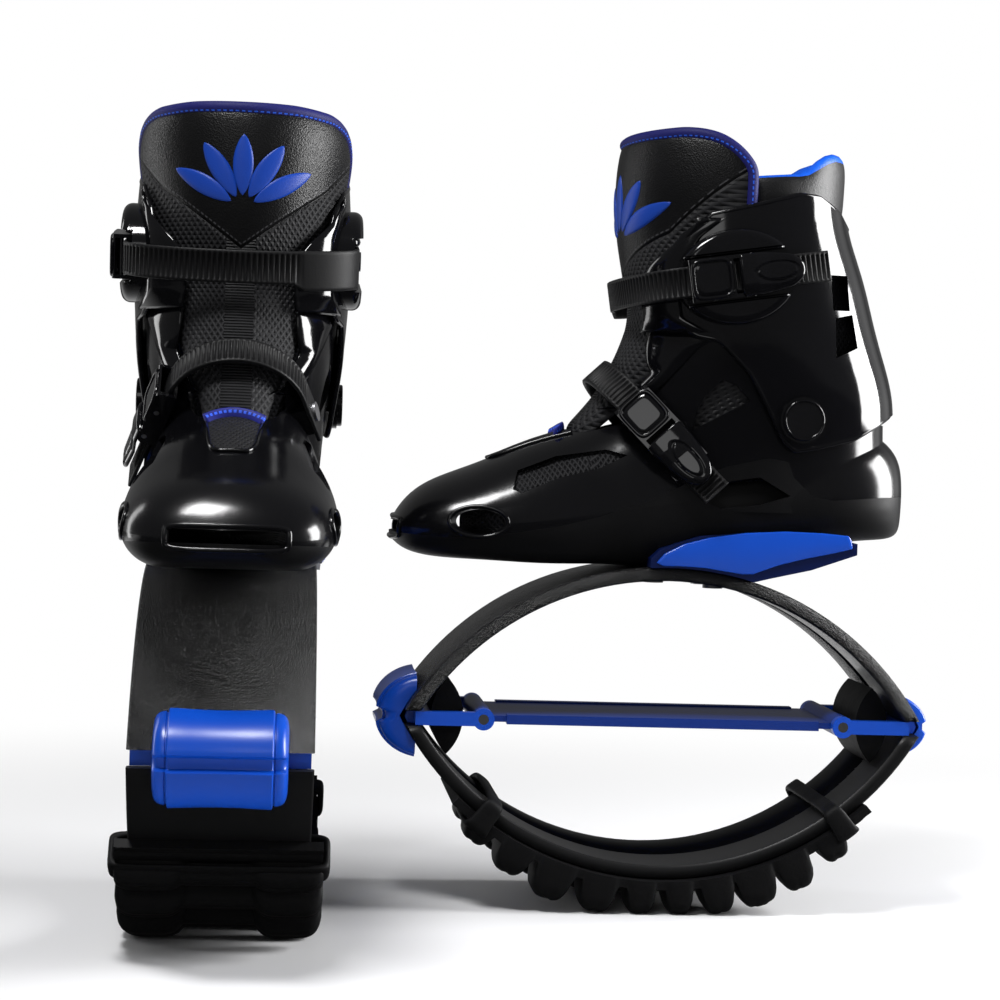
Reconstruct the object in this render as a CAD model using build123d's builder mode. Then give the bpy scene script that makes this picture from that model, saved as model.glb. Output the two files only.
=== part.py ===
"""A pair of spring-soled jumping boots, in millimetres.

Each boot is drawn once in its own frame: +X points to the toe, +Y to the outer side of the left
foot, +Z up, with zero on the floor under the middle of the spring. The right boot is its mirror
image. The pair is then set down as it stands together: the left boot side on, the right boot
facing forward, with the middle of both boots' floor plan at the origin.
"""
import os
from math import asin, cos, degrees, radians, sin, sqrt

from build123d import *

# How the pair is set down
pair_spacing_x = 254.7
pair_spacing_y = 92.8

# The spring: two bowed shells hooked together at their ends
hinge_height = 112.0
arch_rise = 92.0
arch_reach = 153.0
arch_end_gap = 9.0
arch_width = 93.0
arch_wall = 8.0
arch_groove_width = 14.0
arch_groove_depth = 3.0
arch_edge = 1.2

# The blue end caps that clip over both shells
cap_centre_reach = 140.0
cap_half_height = 25.5
cap_bulge = 30.0
cap_back_reach = 146.0
cap_width = 67.0
cap_groove_depth = 4.5
cap_groove_height = 9.0
cap_corner = 5.0
seat_gap = 0.3

# The yoke in each cap, and the elastic band between the two yokes
yoke_arm_height = 8.0
yoke_arm_thickness = 6.0
yoke_outer_width = 90.0
yoke_bar_back = 147.0
yoke_bar_front = 158.0
yoke_web_height = 4.0
yoke_web_width = 60.0
yoke_web_end = 126.0
band_pin_reach = 107.0
band_pin_radius = 3.0
band_eye_radius = 6.4
pin_clearance = 0.05
band_thickness = 3.6
band_bead_thickness = 5.6
band_bead_width = 7.0
band_shoulder = 14.0
part_gap = 0.4

# The rubber stop in each end
bumper_reach = 127.5
bumper_height = 45.0
bumper_thickness = 19.0
bumper_width = 60.0

# The rubber tread under the lower shell
tread_wall = 5.0
tread_width = 106.0
tread_reach = 124.0
lug_radius = 9.6
lug_row = 43.0
lug_depth = 21.0
lug_reach_shares = [0.86, 0.69, 0.5, 0.29, 0.09, -0.09, -0.27, -0.45, -0.63, -0.81]
lug_depth_shares = [0.72, 0.95, 1.14, 1.1, 1.0, 1.0, 1.09, 1.15, 1.1, 0.85]
web_width = 6.0
web_depth = 12.0
loop_reach = 105.0
loop_length = 10.0
loop_wall = 4.0

# The foot: one body, split along a parting line into a matt sole and a glossy shell
toe_reach = 163.5
heel_reach = 146.5
foot_half_width = 56.0
foot_height = 96.0
sole_rise = 24.0
sole_flat_share = 0.6
shell_wall = 3.0
sole_floor = 6.0
tip_wall = 5.5

# Rows of the foot from toe to heel: place along the foot (a share of the toe's reach, or of the
# heel's where it is negative), half width, underside, widest height and top. Half widths are
# shares of foot_half_width, undersides of sole_rise, the other two of foot_height.
foot_row_shares = [
    (1.0, 0.23, 0.58, 0.18, 0.235),
    (0.965, 0.6, 0.3, 0.185, 0.325),
    (0.89, 0.84, 0.13, 0.195, 0.45),
    (0.76, 0.965, 0.06, 0.215, 0.555),
    (0.58, 1.0, 0.02, 0.245, 0.685),
    (0.365, 0.95, 0.0, 0.29, 0.82),
    (0.15, 0.87, 0.0, 0.35, 0.985),
    (-0.07, 0.83, 0.08, 0.41, 1.0),
    (-0.34, 0.82, 0.33, 0.46, 0.98),
    (-0.62, 0.78, 0.6, 0.46, 0.94),
    (-0.85, 0.62, 0.78, 0.47, 0.88),
    (-0.96, 0.38, 0.88, 0.475, 0.77),
    (-1.0, 0.15, 1.25, 0.47, 0.64),
]

# The shaft: the flared tube that the cuff, the shell's ankle and the liner are all cut from
shaft_centre = 47.0
shaft_back = 96.0
shaft_front = 91.0
shaft_half_width = 61.5
ankle_reach = 74.0
ankle_height = 293.0
cuff_rise = 131.0

# Rows of the shaft from the bottom up: height above the ankle pivot as a share of cuff_rise, then
# the back and the half width as shares of shaft_back and shaft_half_width
shaft_row_shares = [
    (-0.42, 0.975, 0.84),
    (-0.237, 0.99, 0.87),
    (-0.023, 0.975, 0.91),
    (0.153, 0.955, 0.95),
    (0.32, 0.885, 0.98),
    (0.511, 0.805, 1.0),
    (0.74, 0.705, 1.0),
    (0.908, 0.633, 0.98),
    (1.06, 0.575, 0.96),
]
cuff_wall = 3.0
cuff_gap = 2.6

# Side views of the openings and edges, as shares: forward or back from the ankle pivot as a share
# of ankle_reach, up from it as a share of cuff_rise
cuff_outline_shares = [
    (0.05, -0.137), (-0.14, -0.12), (-0.46, -0.075), (-0.85, 0.045), (-1.3, 0.12), (-1.3, 0.88),
    (-0.43, 0.89), (-0.3, 0.945), (-0.09, 1.0), (0.09, 1.003), (0.405, 0.95), (0.78, 0.9),
    (1.0, 0.8), (1.13, 0.68), (1.15, 0.55), (1.12, 0.44), (0.86, 0.36), (0.69, 0.344),
    (0.44, 0.206), (0.27, 0.041), (0.14, -0.09),
]
ankle_edge_shares = [
    (-1.3, -0.6), (-1.3, -0.03), (-0.62, 0.0), (-0.35, 0.08), (0.0, 0.14), (0.3, 0.26),
    (0.6, 0.39), (0.8, 0.36), (0.97, 0.31), (1.27, 0.11), (1.52, 0.0), (1.9, -0.05),
    (3.4, -0.05), (3.4, -0.6),
]
liner_edge_shares = [
    (-1.3, -0.9), (-1.3, 1.24), (-0.42, 1.24), (-0.29, 1.23), (-0.16, 1.187), (-0.06, 1.127),
    (0.06, 1.097), (0.45, 1.085), (0.45, 0.8), (0.5, 0.67), (0.7, 0.458), (0.89, 0.32),
    (1.095, 0.183), (1.27, 0.054), (1.3, 0.0), (3.4, -0.05), (3.4, -0.9),
]
heel_window_shares = [
    [(-0.2, 0.655), (-0.36, 0.66), (-0.385, 0.5), (-0.225, 0.497)],
    [(-0.25, 0.463), (-0.41, 0.485), (-0.465, 0.335), (-0.265, 0.285)],
]
ankle_window_shares = [
    (0.86, -0.06), (0.42, 0.08), (0.53, 0.145), (0.64, 0.17), (0.77, 0.1), (0.83, 0.03),
]

# The parting line between sole and shell, toe to heel: along the foot as above, height as a share
# of foot_height above the sole's underside
parting_shares = [
    (1.2, 0.165), (0.98, 0.163), (0.8, 0.15), (0.62, 0.177), (0.41, 0.237), (0.265, 0.3),
    (0.12, 0.39), (-0.02, 0.49), (-0.1, 0.56), (-0.22, 0.632), (-0.385, 0.69), (-0.465, 0.67),
    (-0.49, 0.575), (-0.575, 0.46), (-0.66, 0.44), (-0.9, 0.468), (-1.2, 0.47),
]

# The throat that the tongue fills, seen from above: along the foot, half width as a share
throat_shares = [
    (0.36, 0.0), (0.35, 0.2), (0.32, 0.32), (0.26, 0.39), (0.16, 0.47), (0.08, 0.575),
    (0.0, 0.69), (-0.12, 0.76), (-0.2, 0.8), (-0.3, 0.8),
]
throat_margin = 3.0

# Toe slot, toe holes and the mesh windows in the shell's sides
slot_width = 57.0
slot_height = 8.0
slot_centre = 18.5
slot_depth = 12.0
toe_hole_reach = 113.5
toe_hole_rise = 24.0
toe_hole_length = 28.0
toe_hole_height = 14.0
toe_hole_depth = 9.0
side_window_shares = [
    (0.58, 0.45), (0.56, 0.565), (0.42, 0.66), (0.24, 0.71), (0.165, 0.68), (0.27, 0.59),
    (0.41, 0.53), (0.55, 0.43),
]
recess_shares = [
    (-0.11, 0.42), (-0.23, 0.54), (-0.35, 0.57), (-0.48, 0.46), (-0.36, 0.4), (-0.2, 0.37),
]
recess_depth = 5.0
side_cut_inner = 24.0
slot_rim = 2.0

# The blue saddle between the spring and the heel
saddle_width = 99.0
saddle_shares = [
    (0.075, 0.0), (0.075, 0.055), (0.04, 0.115), (-0.117, 0.2), (-0.35, 0.232), (-0.61, 0.224),
    (-0.755, 0.18), (-0.755, 0.11), (-0.57, 0.01), (-0.4, -0.05), (-0.22, -0.12),
]

# The bolts that hold spring, saddle and sole together
bolt_radius = 3.0
bolt_head_radius = 6.0
bolt_head_height = 4.0
bolt_bite = 4.0
bolt_reaches = (6.0, -30.0)
bolt_row = 21.0

# The soft liner and its footbed. The collar rows stand on the shaft's, in the same shares.
liner_gap = 0.6
liner_wall = 6.0
liner_sole = 4.0
footbed_gap = 0.4
footbed_wall = 4.0
collar_row_shares = [(0.74, 0.705, 0.98), (0.87, 0.69, 0.98), (1.0, 0.7, 0.98), (1.26, 0.705, 0.96)]

# The tongue, from its top down: height above the ankle pivot as a share of cuff_rise, then its
# front and its rear edge ahead of the shaft's centre as shares of shaft_front, then its half width
tongue_row_shares = [
    (1.285, 0.855, 0.0775, 0.92),
    (1.06, 0.885, 0.0775, 0.945),
    (0.855, 0.875, 0.0775, 0.885),
    (0.672, 0.83, 0.1275, 0.88),
    (0.46, 0.765, 0.2875, 0.75),
    (0.32, 0.82, 0.4475, 0.62),
    (0.183, 0.91, 0.6075, 0.5),
    (0.054, 1.0, 0.7675, 0.37),
    (-0.035, 1.1, 0.9175, 0.24),
]
tongue_wall = 6.0
tongue_corner_shares = [
    (-1.0, -0.5), (-1.0, 1.1), (-0.9, 1.19), (-0.7, 1.25), (-0.35, 1.275), (0.0, 1.28),
    (0.35, 1.275), (0.7, 1.25), (0.9, 1.19), (1.0, 1.1), (1.0, -0.5),
]

# Ankle rivets: a head outside on the cuff's round pad, a shank, and a head inside the shell
rivet_pad_reach = 57.0
rivet_pad_rim = 1.4
rivet_head_radius = 12.2
rivet_head_height = 2.2
rivet_shaft_radius = 4.0
rivet_inner_radius = 6.0
rivet_inner_height = 1.6
rivet_inner_reach = 43.4
rivet_gap = 0.1

# The ladder straps. The upper one runs round the cuff's front, the lower one over the instep
strap_width = 18.0
strap_wall = 2.4
strap_gap = 0.3
upper_strap_height = 370.0
upper_strap_lean = 9.0
upper_strap_front = 33.8
upper_strap_half = 64.2
upper_strap_bend = 58.0
upper_strap_tail = 86.0
upper_tail_tuck = 4.5
upper_strap_anchor = 46.0
lower_strap_reach = 42.5
lower_strap_height = 319.0
lower_strap_dive = 46.7
lower_strap_radius = 38.0
lower_strap_splay = 18.0
lower_strap_tail = 74.0
lower_strap_anchor = 32.0

# The eye-shaped pads moulded on the cuff, with a channel for the strap through each
pad_centre = 31.0
pad_length = 70.0
pad_height = 56.0
pad_reach = 67.5
pad_edge = 5.0
pad_channel = 30.0

# The stems moulded on the foot shell under the lower strap's two ends
stem_place = 14.0
stem_length = 18.0
stem_width = 16.0
stem_depth = 20.0

# The two ratchet buckles: a frame, a lever and their two pins
buckle_place = 2.0
lower_buckle_place = -2.0
buckle_floor = 2.2
buckle_floor_length = 54.0
buckle_half_width = 12.4
buckle_cheek = 2.2
buckle_cheek_height = 11.2
buckle_cheek_length = 38.0
buckle_cheek_corner = 3.0
buckle_plate_length = 26.0
buckle_plate_wall = 1.8
buckle_pin_radius = 1.5
lever_pin_place = 33.0
lever_pin_rise = 8.4
pawl_pin_place = 14.0
pawl_pin_rise = 7.15
lever_front = 3.0
lever_length = 66.0
lever_wall = 2.6
lever_underside = 9.0
lever_hub_radius = 2.8
lever_half_width = 9.6
lever_tail_start = 39.0
lever_tail_half_width = 11.4
lever_tail_corner = 8.0
anchor_place = 30.0
lower_anchor_place = 18.0
anchor_shank_radius = 2.5
anchor_head_radius = 5.5
anchor_head_height = 1.6
anchor_depth = 7.0

# One overrun for every cut
overrun = 20.0

# Derived heights and curves
seat_level = hinge_height + arch_rise
end_rise = arch_rise - arch_end_gap / 2
arch_radius = (arch_reach ** 2 + end_rise ** 2) / (2 * end_rise)
arch_centre = seat_level - arch_radius
lower_centre = 2 * hinge_height - arch_centre


def along(share):
    """Place along the foot: forward shares reach to the toe, backward ones to the heel."""
    return share * (toe_reach if share > 0 else heel_reach)


def arch_drop(reach, radius):
    """How far a circle about the spring's centre line has fallen at this reach."""
    return radius - sqrt(radius ** 2 - reach ** 2)


def around_ankle(shares):
    """Side-view points given as shares about the ankle pivot."""
    return [(ankle_reach * (x - 1), ankle_height + cuff_rise * z) for x, z in shares]


def on_foot(shares):
    """Side-view points given as shares along the foot and of its height."""
    return [(along(x), seat_level + foot_height * z) for x, z in shares]


def sole_underside(place):
    """Height of the sole's underside at a place along the foot."""
    rows = [(along(row[0]), seat_level + sole_rise * row[2]) for row in foot_row_shares]
    for (x0, z0), (x1, z1) in zip(rows, rows[1:]):
        if x1 <= place <= x0:
            return z0 + (z1 - z0) * (place - x0) / (x1 - x0)
    raise ValueError("place is off the foot")


def side_solid(points, width):
    """A flat outline in side view, carried across the boot."""
    with BuildPart() as solid:
        with BuildSketch(Plane.XZ):
            with BuildLine():
                Polyline(points, close=True)
            make_face()
        extrude(amount=width / 2, both=True)
    return solid.part


def foot_form(inset, floor, skip=0):
    """The foot as one body, drawn in all round by an inset and raised by a floor."""
    rows = foot_row_shares[skip:len(foot_row_shares) - min(skip, 1)]
    with BuildPart() as form:
        for place, half, under, waist, top in rows:
            width = foot_half_width * half - inset
            middle = seat_level + foot_height * waist
            rise = seat_level + foot_height * top - inset - middle
            fall = middle - seat_level - sole_rise * under - floor
            flat = width * sole_flat_share
            with BuildSketch(Plane.YZ.offset(along(place) - inset * place)):
                with BuildLine():
                    EllipticalCenterArc((0, middle), width, rise, 0, arc_size=180)
                    EllipticalCenterArc((-flat, middle), width - flat, fall, 180, arc_size=90)
                    Line((-flat, middle - fall), (flat, middle - fall))
                    EllipticalCenterArc((flat, middle), width - flat, fall, 270, arc_size=90)
                make_face()
        loft()
    return form.part


def shaft_form(inset, rows=None):
    """The flared shaft as one body, drawn in all round by an inset."""
    with BuildPart() as form:
        for rise, back, half in rows or shaft_row_shares:
            wide = shaft_half_width * half - inset
            with BuildSketch(Plane.XY.offset(ankle_height + cuff_rise * rise)):
                with BuildLine():
                    EllipticalCenterArc(
                        (-shaft_centre, 0), shaft_front - inset, wide, -90, arc_size=180
                    )
                    EllipticalCenterArc(
                        (-shaft_centre, 0), shaft_back * back - inset, wide, 90, arc_size=180
                    )
                make_face()
        loft()
    return form.part


def cut_through(points):
    """A cutter for an opening that goes through both sides."""
    return side_solid(points, 2 * (shaft_half_width + overrun))


def side_cutters(points):
    """Cutters for an opening in each side that leaves the middle alone."""
    with BuildPart() as cutters:
        add(cut_through(points))
        with Locations((0, 0, seat_level + foot_height)):
            Box(2 * (toe_reach + overrun), 2 * side_cut_inner, 4 * foot_height, mode=Mode.SUBTRACT)
    return cutters.part


# The bowed shells of the spring: a bevelled section with a groove inside, turned about the bow's
# centre and cut level at both ends. The lower one is the upper one turned over.
inner_radius = arch_radius - arch_wall
end_level = hinge_height + arch_end_gap / 2
with BuildPart() as upper_arch:
    with BuildSketch(Plane.YZ):
        with BuildLine():
            half = arch_width / 2
            inside = seat_level - arch_wall
            groove = arch_groove_width / 2
            Polyline(
                (half, inside + arch_edge), (half, seat_level - arch_edge),
                (half - arch_edge, seat_level), (arch_edge - half, seat_level),
                (-half, seat_level - arch_edge), (-half, inside + arch_edge),
                (arch_edge - half, inside), (-groove, inside),
                (-groove, inside + arch_groove_depth), (groove, inside + arch_groove_depth),
                (groove, inside), (half - arch_edge, inside),
                close=True,
            )
        make_face()
    revolve(axis=Axis((0, 0, arch_centre), (0, 1, 0)))
    with Locations((0, 0, end_level)):
        Box(
            2 * arch_reach + overrun, arch_width + overrun, 2 * arch_rise,
            align=(Align.CENTER, Align.CENTER, Align.MIN), mode=Mode.INTERSECT,
        )

blank_arch = upper_arch.part
with BuildPart() as lower_arch:
    add(mirror(blank_arch, about=Plane.XY.offset(hinge_height), mode=Mode.PRIVATE))

with BuildPart() as upper_arch:
    add(blank_arch)
    for reach in bolt_reaches:
        inside = arch_centre + sqrt(inner_radius ** 2 - reach ** 2)
        with Locations(*[(reach, side, inside) for side in (-bolt_row, bolt_row)]):
            Cylinder(bolt_radius + pin_clearance, 2 * overrun, mode=Mode.SUBTRACT)
            Cylinder(bolt_head_radius + pin_clearance, bolt_head_height, mode=Mode.SUBTRACT)

# The four bolts: head under the spring's top, shank up through the saddle into the sole
with BuildPart() as saddle_bolts:
    for reach in bolt_reaches:
        inside = arch_centre + sqrt(inner_radius ** 2 - reach ** 2)
        length = sole_underside(reach) + bolt_bite - inside
        for side in (-bolt_row, bolt_row):
            with Locations((reach, side, inside)):
                Cylinder(bolt_head_radius, bolt_head_height)
                Cylinder(bolt_radius, length, align=(Align.CENTER, Align.CENTER, Align.MIN))

# The end cap: a crescent that follows both shells, with a groove along the hinge line
tip_reach = sqrt(arch_radius ** 2 - (hinge_height - arch_centre) ** 2)
with BuildPart() as front_cap:
    with BuildSketch(Plane.XZ):
        with Locations((cap_centre_reach, hinge_height)):
            Ellipse(cap_bulge, cap_half_height)
        with Locations((cap_back_reach + arch_reach, hinge_height)):
            Rectangle(2 * arch_reach, 2 * arch_reach, mode=Mode.INTERSECT)
        with BuildSketch(Plane.XZ, mode=Mode.SUBTRACT):
            with Locations((0, arch_centre)):
                Circle(arch_radius + seat_gap)
            with Locations((0, 2 * hinge_height - arch_centre)):
                Circle(arch_radius + seat_gap, mode=Mode.INTERSECT)
        with BuildSketch(Plane.XZ, mode=Mode.SUBTRACT):
            with BuildLine():
                groove_tip = cap_centre_reach + cap_bulge - cap_groove_depth
                Polyline(
                    (groove_tip, hinge_height),
                    (groove_tip + cap_groove_height, hinge_height + cap_groove_height),
                    (groove_tip + cap_groove_height, hinge_height - cap_groove_height),
                    close=True,
                )
            make_face()
    extrude(amount=cap_width / 2, both=True)
    with BuildSketch(Plane.YZ.offset(cap_back_reach - overrun)):
        with Locations((0, hinge_height)):
            RectangleRounded(cap_width, 2 * cap_half_height, cap_corner)
    extrude(amount=cap_bulge + 2 * overrun, mode=Mode.INTERSECT)
    with Locations(((yoke_bar_front + yoke_bar_back) / 2, 0, hinge_height)):
        Box(yoke_bar_front - yoke_bar_back, cap_width + overrun, yoke_arm_height, mode=Mode.SUBTRACT)

# The yoke: a bar that hooks into the cap, two arms back to the band's pin, a web for the stop
arm_middle = (yoke_outer_width - yoke_arm_thickness) / 2
with BuildPart() as front_yoke:
    with Locations(((yoke_bar_front + yoke_bar_back) / 2, 0, hinge_height)):
        Box(yoke_bar_front - yoke_bar_back, cap_width, yoke_arm_height)
    with Locations((yoke_bar_back, 0, hinge_height)):
        Box(
            yoke_arm_thickness, yoke_outer_width, yoke_arm_height,
            align=(Align.MAX, Align.CENTER, Align.CENTER),
        )
    arm_length = yoke_bar_back - band_pin_reach
    with Locations((yoke_bar_back, arm_middle, hinge_height), (yoke_bar_back, -arm_middle, hinge_height)):
        Box(
            arm_length, yoke_arm_thickness, yoke_arm_height,
            align=(Align.MAX, Align.CENTER, Align.CENTER),
        )
    with BuildSketch(Plane.XZ):
        with Locations((band_pin_reach, hinge_height)):
            Circle(band_eye_radius)
    extrude(amount=yoke_outer_width / 2, both=True)
    with Locations((band_pin_reach, 0, hinge_height)):
        Box(
            4 * band_eye_radius, yoke_outer_width - 2 * yoke_arm_thickness, 4 * band_eye_radius,
            mode=Mode.SUBTRACT,
        )
    with Locations((yoke_bar_back, 0, hinge_height)):
        Box(
            yoke_bar_back - yoke_web_end, yoke_web_width, yoke_web_height,
            align=(Align.MAX, Align.CENTER, Align.CENTER),
        )
    with BuildSketch(Plane.XZ):
        with Locations((band_pin_reach, hinge_height)):
            Circle(band_pin_radius + pin_clearance)
    extrude(amount=yoke_outer_width, both=True, mode=Mode.SUBTRACT)

# The rubber stop: a lens that clips over the yoke's web
with BuildPart() as front_bumper:
    with BuildSketch(Plane.XZ):
        with BuildLine():
            top = (bumper_reach, hinge_height + bumper_height / 2)
            bottom = (bumper_reach, hinge_height - bumper_height / 2)
            ThreePointArc(bottom, (bumper_reach + bumper_thickness / 2, hinge_height), top)
            ThreePointArc(top, (bumper_reach - bumper_thickness / 2, hinge_height), bottom)
        make_face()
    extrude(amount=bumper_width / 2, both=True)
    with Locations((yoke_web_end, 0, hinge_height)):
        Box(
            overrun, bumper_width + overrun, yoke_web_height,
            align=(Align.MIN, Align.CENTER, Align.CENTER), mode=Mode.SUBTRACT,
        )

turned_about = Plane.YZ
with BuildPart() as rear_cap:
    add(mirror(front_cap.part, about=turned_about, mode=Mode.PRIVATE))
with BuildPart() as rear_yoke:
    add(mirror(front_yoke.part, about=turned_about, mode=Mode.PRIVATE))
with BuildPart() as rear_bumper:
    add(mirror(front_bumper.part, about=turned_about, mode=Mode.PRIVATE))

# The elastic band, with an eye at each end and a bead along each edge
eye_width = yoke_outer_width - 2 * yoke_arm_thickness - 2 * part_gap
band_width = yoke_outer_width - yoke_arm_thickness
with BuildPart() as tension_band:
    with Locations((0, 0, hinge_height)):
        Box(2 * band_pin_reach, eye_width, band_thickness)
        Box(2 * (band_pin_reach - band_shoulder), band_width, band_thickness)
    bead_middle = (band_width - band_bead_width) / 2
    with Locations((0, bead_middle, hinge_height), (0, -bead_middle, hinge_height)):
        Box(2 * (band_pin_reach - band_shoulder), band_bead_width, band_bead_thickness)
    with BuildSketch(Plane.XZ):
        with Locations((band_pin_reach, hinge_height), (-band_pin_reach, hinge_height)):
            Circle(band_eye_radius)
    extrude(amount=eye_width / 2, both=True)
    with BuildSketch(Plane.XZ):
        with Locations((band_pin_reach, hinge_height), (-band_pin_reach, hinge_height)):
            Circle(band_pin_radius + pin_clearance)
    extrude(amount=eye_width, both=True, mode=Mode.SUBTRACT)

with BuildPart() as band_pins:
    with BuildSketch(Plane.XZ):
        with Locations((band_pin_reach, hinge_height), (-band_pin_reach, hinge_height)):
            Circle(band_pin_radius)
    extrude(amount=yoke_outer_width / 2, both=True)

def web_profile(reach):
    """The rib that joins the lugs of a row, as wide as both outer rows together."""
    with BuildPart() as rib:
        with BuildSketch(Plane.XZ):
            with Locations((0, lower_centre)):
                Circle(arch_radius + web_depth)
                Circle(arch_radius, mode=Mode.SUBTRACT)
            with Locations((0, lower_centre - arch_radius)):
                Rectangle(2 * reach, 2 * arch_rise, mode=Mode.INTERSECT)
        extrude(amount=lug_row + web_width / 2, both=True)
    return rib.part


def strap_loop(reach):
    """A band round the lower shell and its tread, square to the shell at this reach."""
    with BuildPart() as loop:
        with BuildSketch(Plane.XZ):
            with Locations((0, lower_centre)):
                Circle(arch_radius + tread_wall + loop_wall / 2)
                Circle(inner_radius - loop_wall, mode=Mode.SUBTRACT)
            with Locations(Location((0, lower_centre), degrees(asin(reach / arch_radius)))):
                Rectangle(
                    loop_length, 2 * arch_radius, align=(Align.CENTER, Align.MAX),
                    mode=Mode.INTERSECT,
                )
        extrude(amount=tread_width / 2 + loop_wall / 2, both=True)
    return loop.part


# The tread: a rubber strip on the lower shell's outside, three rows of lugs and two strap loops
with BuildPart() as tread:
    with BuildSketch(Plane.XZ):
        with Locations((0, lower_centre)):
            Circle(arch_radius + tread_wall)
            Circle(arch_radius, mode=Mode.SUBTRACT)
        with Locations((0, lower_centre - arch_radius)):
            Rectangle(2 * tread_reach, 2 * arch_rise, mode=Mode.INTERSECT)
    extrude(amount=tread_width / 2, both=True)
    for place, depth in zip(lug_reach_shares, lug_depth_shares):
        reach = tread_reach * place
        tilt = degrees(asin(reach / arch_radius))
        foot = arch_radius + lug_depth * depth - lug_radius
        for side in (-lug_row, 0, lug_row):
            turn = Location((0, 0, lower_centre), (0, -tilt, 0))
            with Locations(turn * Location((0, side, -arch_radius))):
                Cylinder(
                    lug_radius, lug_depth * depth - lug_radius,
                    align=(Align.CENTER, Align.CENTER, Align.MAX),
                )
            with Locations(turn * Location((0, side, -foot))):
                Sphere(lug_radius)
    with BuildPart(mode=Mode.PRIVATE) as webs:
        add(web_profile(tread_reach * lug_reach_shares[0]))
        with Locations((0, 0, hinge_height)):
            Box(4 * arch_reach, 2 * (lug_row - web_width / 2), 4 * arch_reach, mode=Mode.SUBTRACT)
    add(webs.part)
    for reach in (-loop_reach, loop_reach):
        add(strap_loop(reach))
    with BuildSketch(Plane.XZ):
        with Locations((0, lower_centre)):
            Circle(arch_radius)
            Circle(inner_radius, mode=Mode.SUBTRACT)
    extrude(amount=arch_width / 2, both=True, mode=Mode.SUBTRACT)
    with Locations((0, 0, 0)):
        Box(
            2 * arch_reach, 2 * tread_width, overrun,
            align=(Align.CENTER, Align.CENTER, Align.MAX), mode=Mode.SUBTRACT,
        )

# Solids that several pieces are cut from
foot_outside = foot_form(0, 0)
foot_inside = foot_form(shell_wall, sole_floor, 1)
ankle_inset = cuff_wall + cuff_gap
ankle_rows = shaft_row_shares[:6]
ankle_outside = shaft_form(ankle_inset, ankle_rows)
ankle_inside = shaft_form(ankle_inset + shell_wall, ankle_rows)
shaft_outside = shaft_form(0)
above_parting = side_solid(
    on_foot(parting_shares)
    + [(-heel_reach - overrun, seat_level + 2 * foot_height),
       (toe_reach + overrun, seat_level + 2 * foot_height)],
    2 * (foot_half_width + overrun),
)


def throat(margin, low, high):
    """The throat seen from above, widened by a margin, between two heights."""
    side = [(along(x), foot_half_width * y + margin) for x, y in throat_shares[1:]]
    with BuildPart() as opening:
        with BuildSketch(Plane.XY.offset(low)):
            with BuildLine():
                Polyline(
                    [(along(throat_shares[0][0]) + margin, 0)] + side
                    + [(x, -y) for x, y in reversed(side)],
                    close=True,
                )
            make_face()
        extrude(amount=high - low)
    return opening.part


# The matt sole, up to the parting line
with BuildPart() as sole_shell:
    add(foot_outside)
    add(ankle_outside)
    add(foot_inside, mode=Mode.SUBTRACT)
    add(ankle_inside, mode=Mode.SUBTRACT)
    add(above_parting, mode=Mode.SUBTRACT)
    with BuildPart(mode=Mode.PRIVATE) as recess:
        add(side_solid(on_foot(recess_shares), 2 * foot_half_width))
        with Locations((0, 0, seat_level)):
            Box(
                2 * heel_reach, 2 * (foot_half_width * foot_row_shares[8][1] - recess_depth),
                4 * foot_height, mode=Mode.SUBTRACT,
            )
    add(recess.part, mode=Mode.SUBTRACT)
    for reach in bolt_reaches:
        with Locations(*[(reach, side, seat_level) for side in (-bolt_row, bolt_row)]):
            Cylinder(
                bolt_radius + pin_clearance, sole_underside(reach) + bolt_bite - seat_level + pin_clearance,
                align=(Align.CENTER, Align.CENTER, Align.MIN), mode=Mode.SUBTRACT,
            )

# The saddle: fills the wedge between spring and heel and rises as a wing on each side
with BuildPart() as saddle:
    add(side_solid(on_foot(saddle_shares), saddle_width))
    add(foot_outside, mode=Mode.SUBTRACT)
    with BuildSketch(Plane.XZ):
        with Locations((0, arch_centre)):
            Circle(arch_radius)
    extrude(amount=saddle_width, both=True, mode=Mode.SUBTRACT)
    for reach in bolt_reaches:
        with Locations(*[(reach, side, seat_level) for side in (-bolt_row, bolt_row)]):
            Cylinder(bolt_radius + pin_clearance, 4 * overrun, mode=Mode.SUBTRACT)

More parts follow.
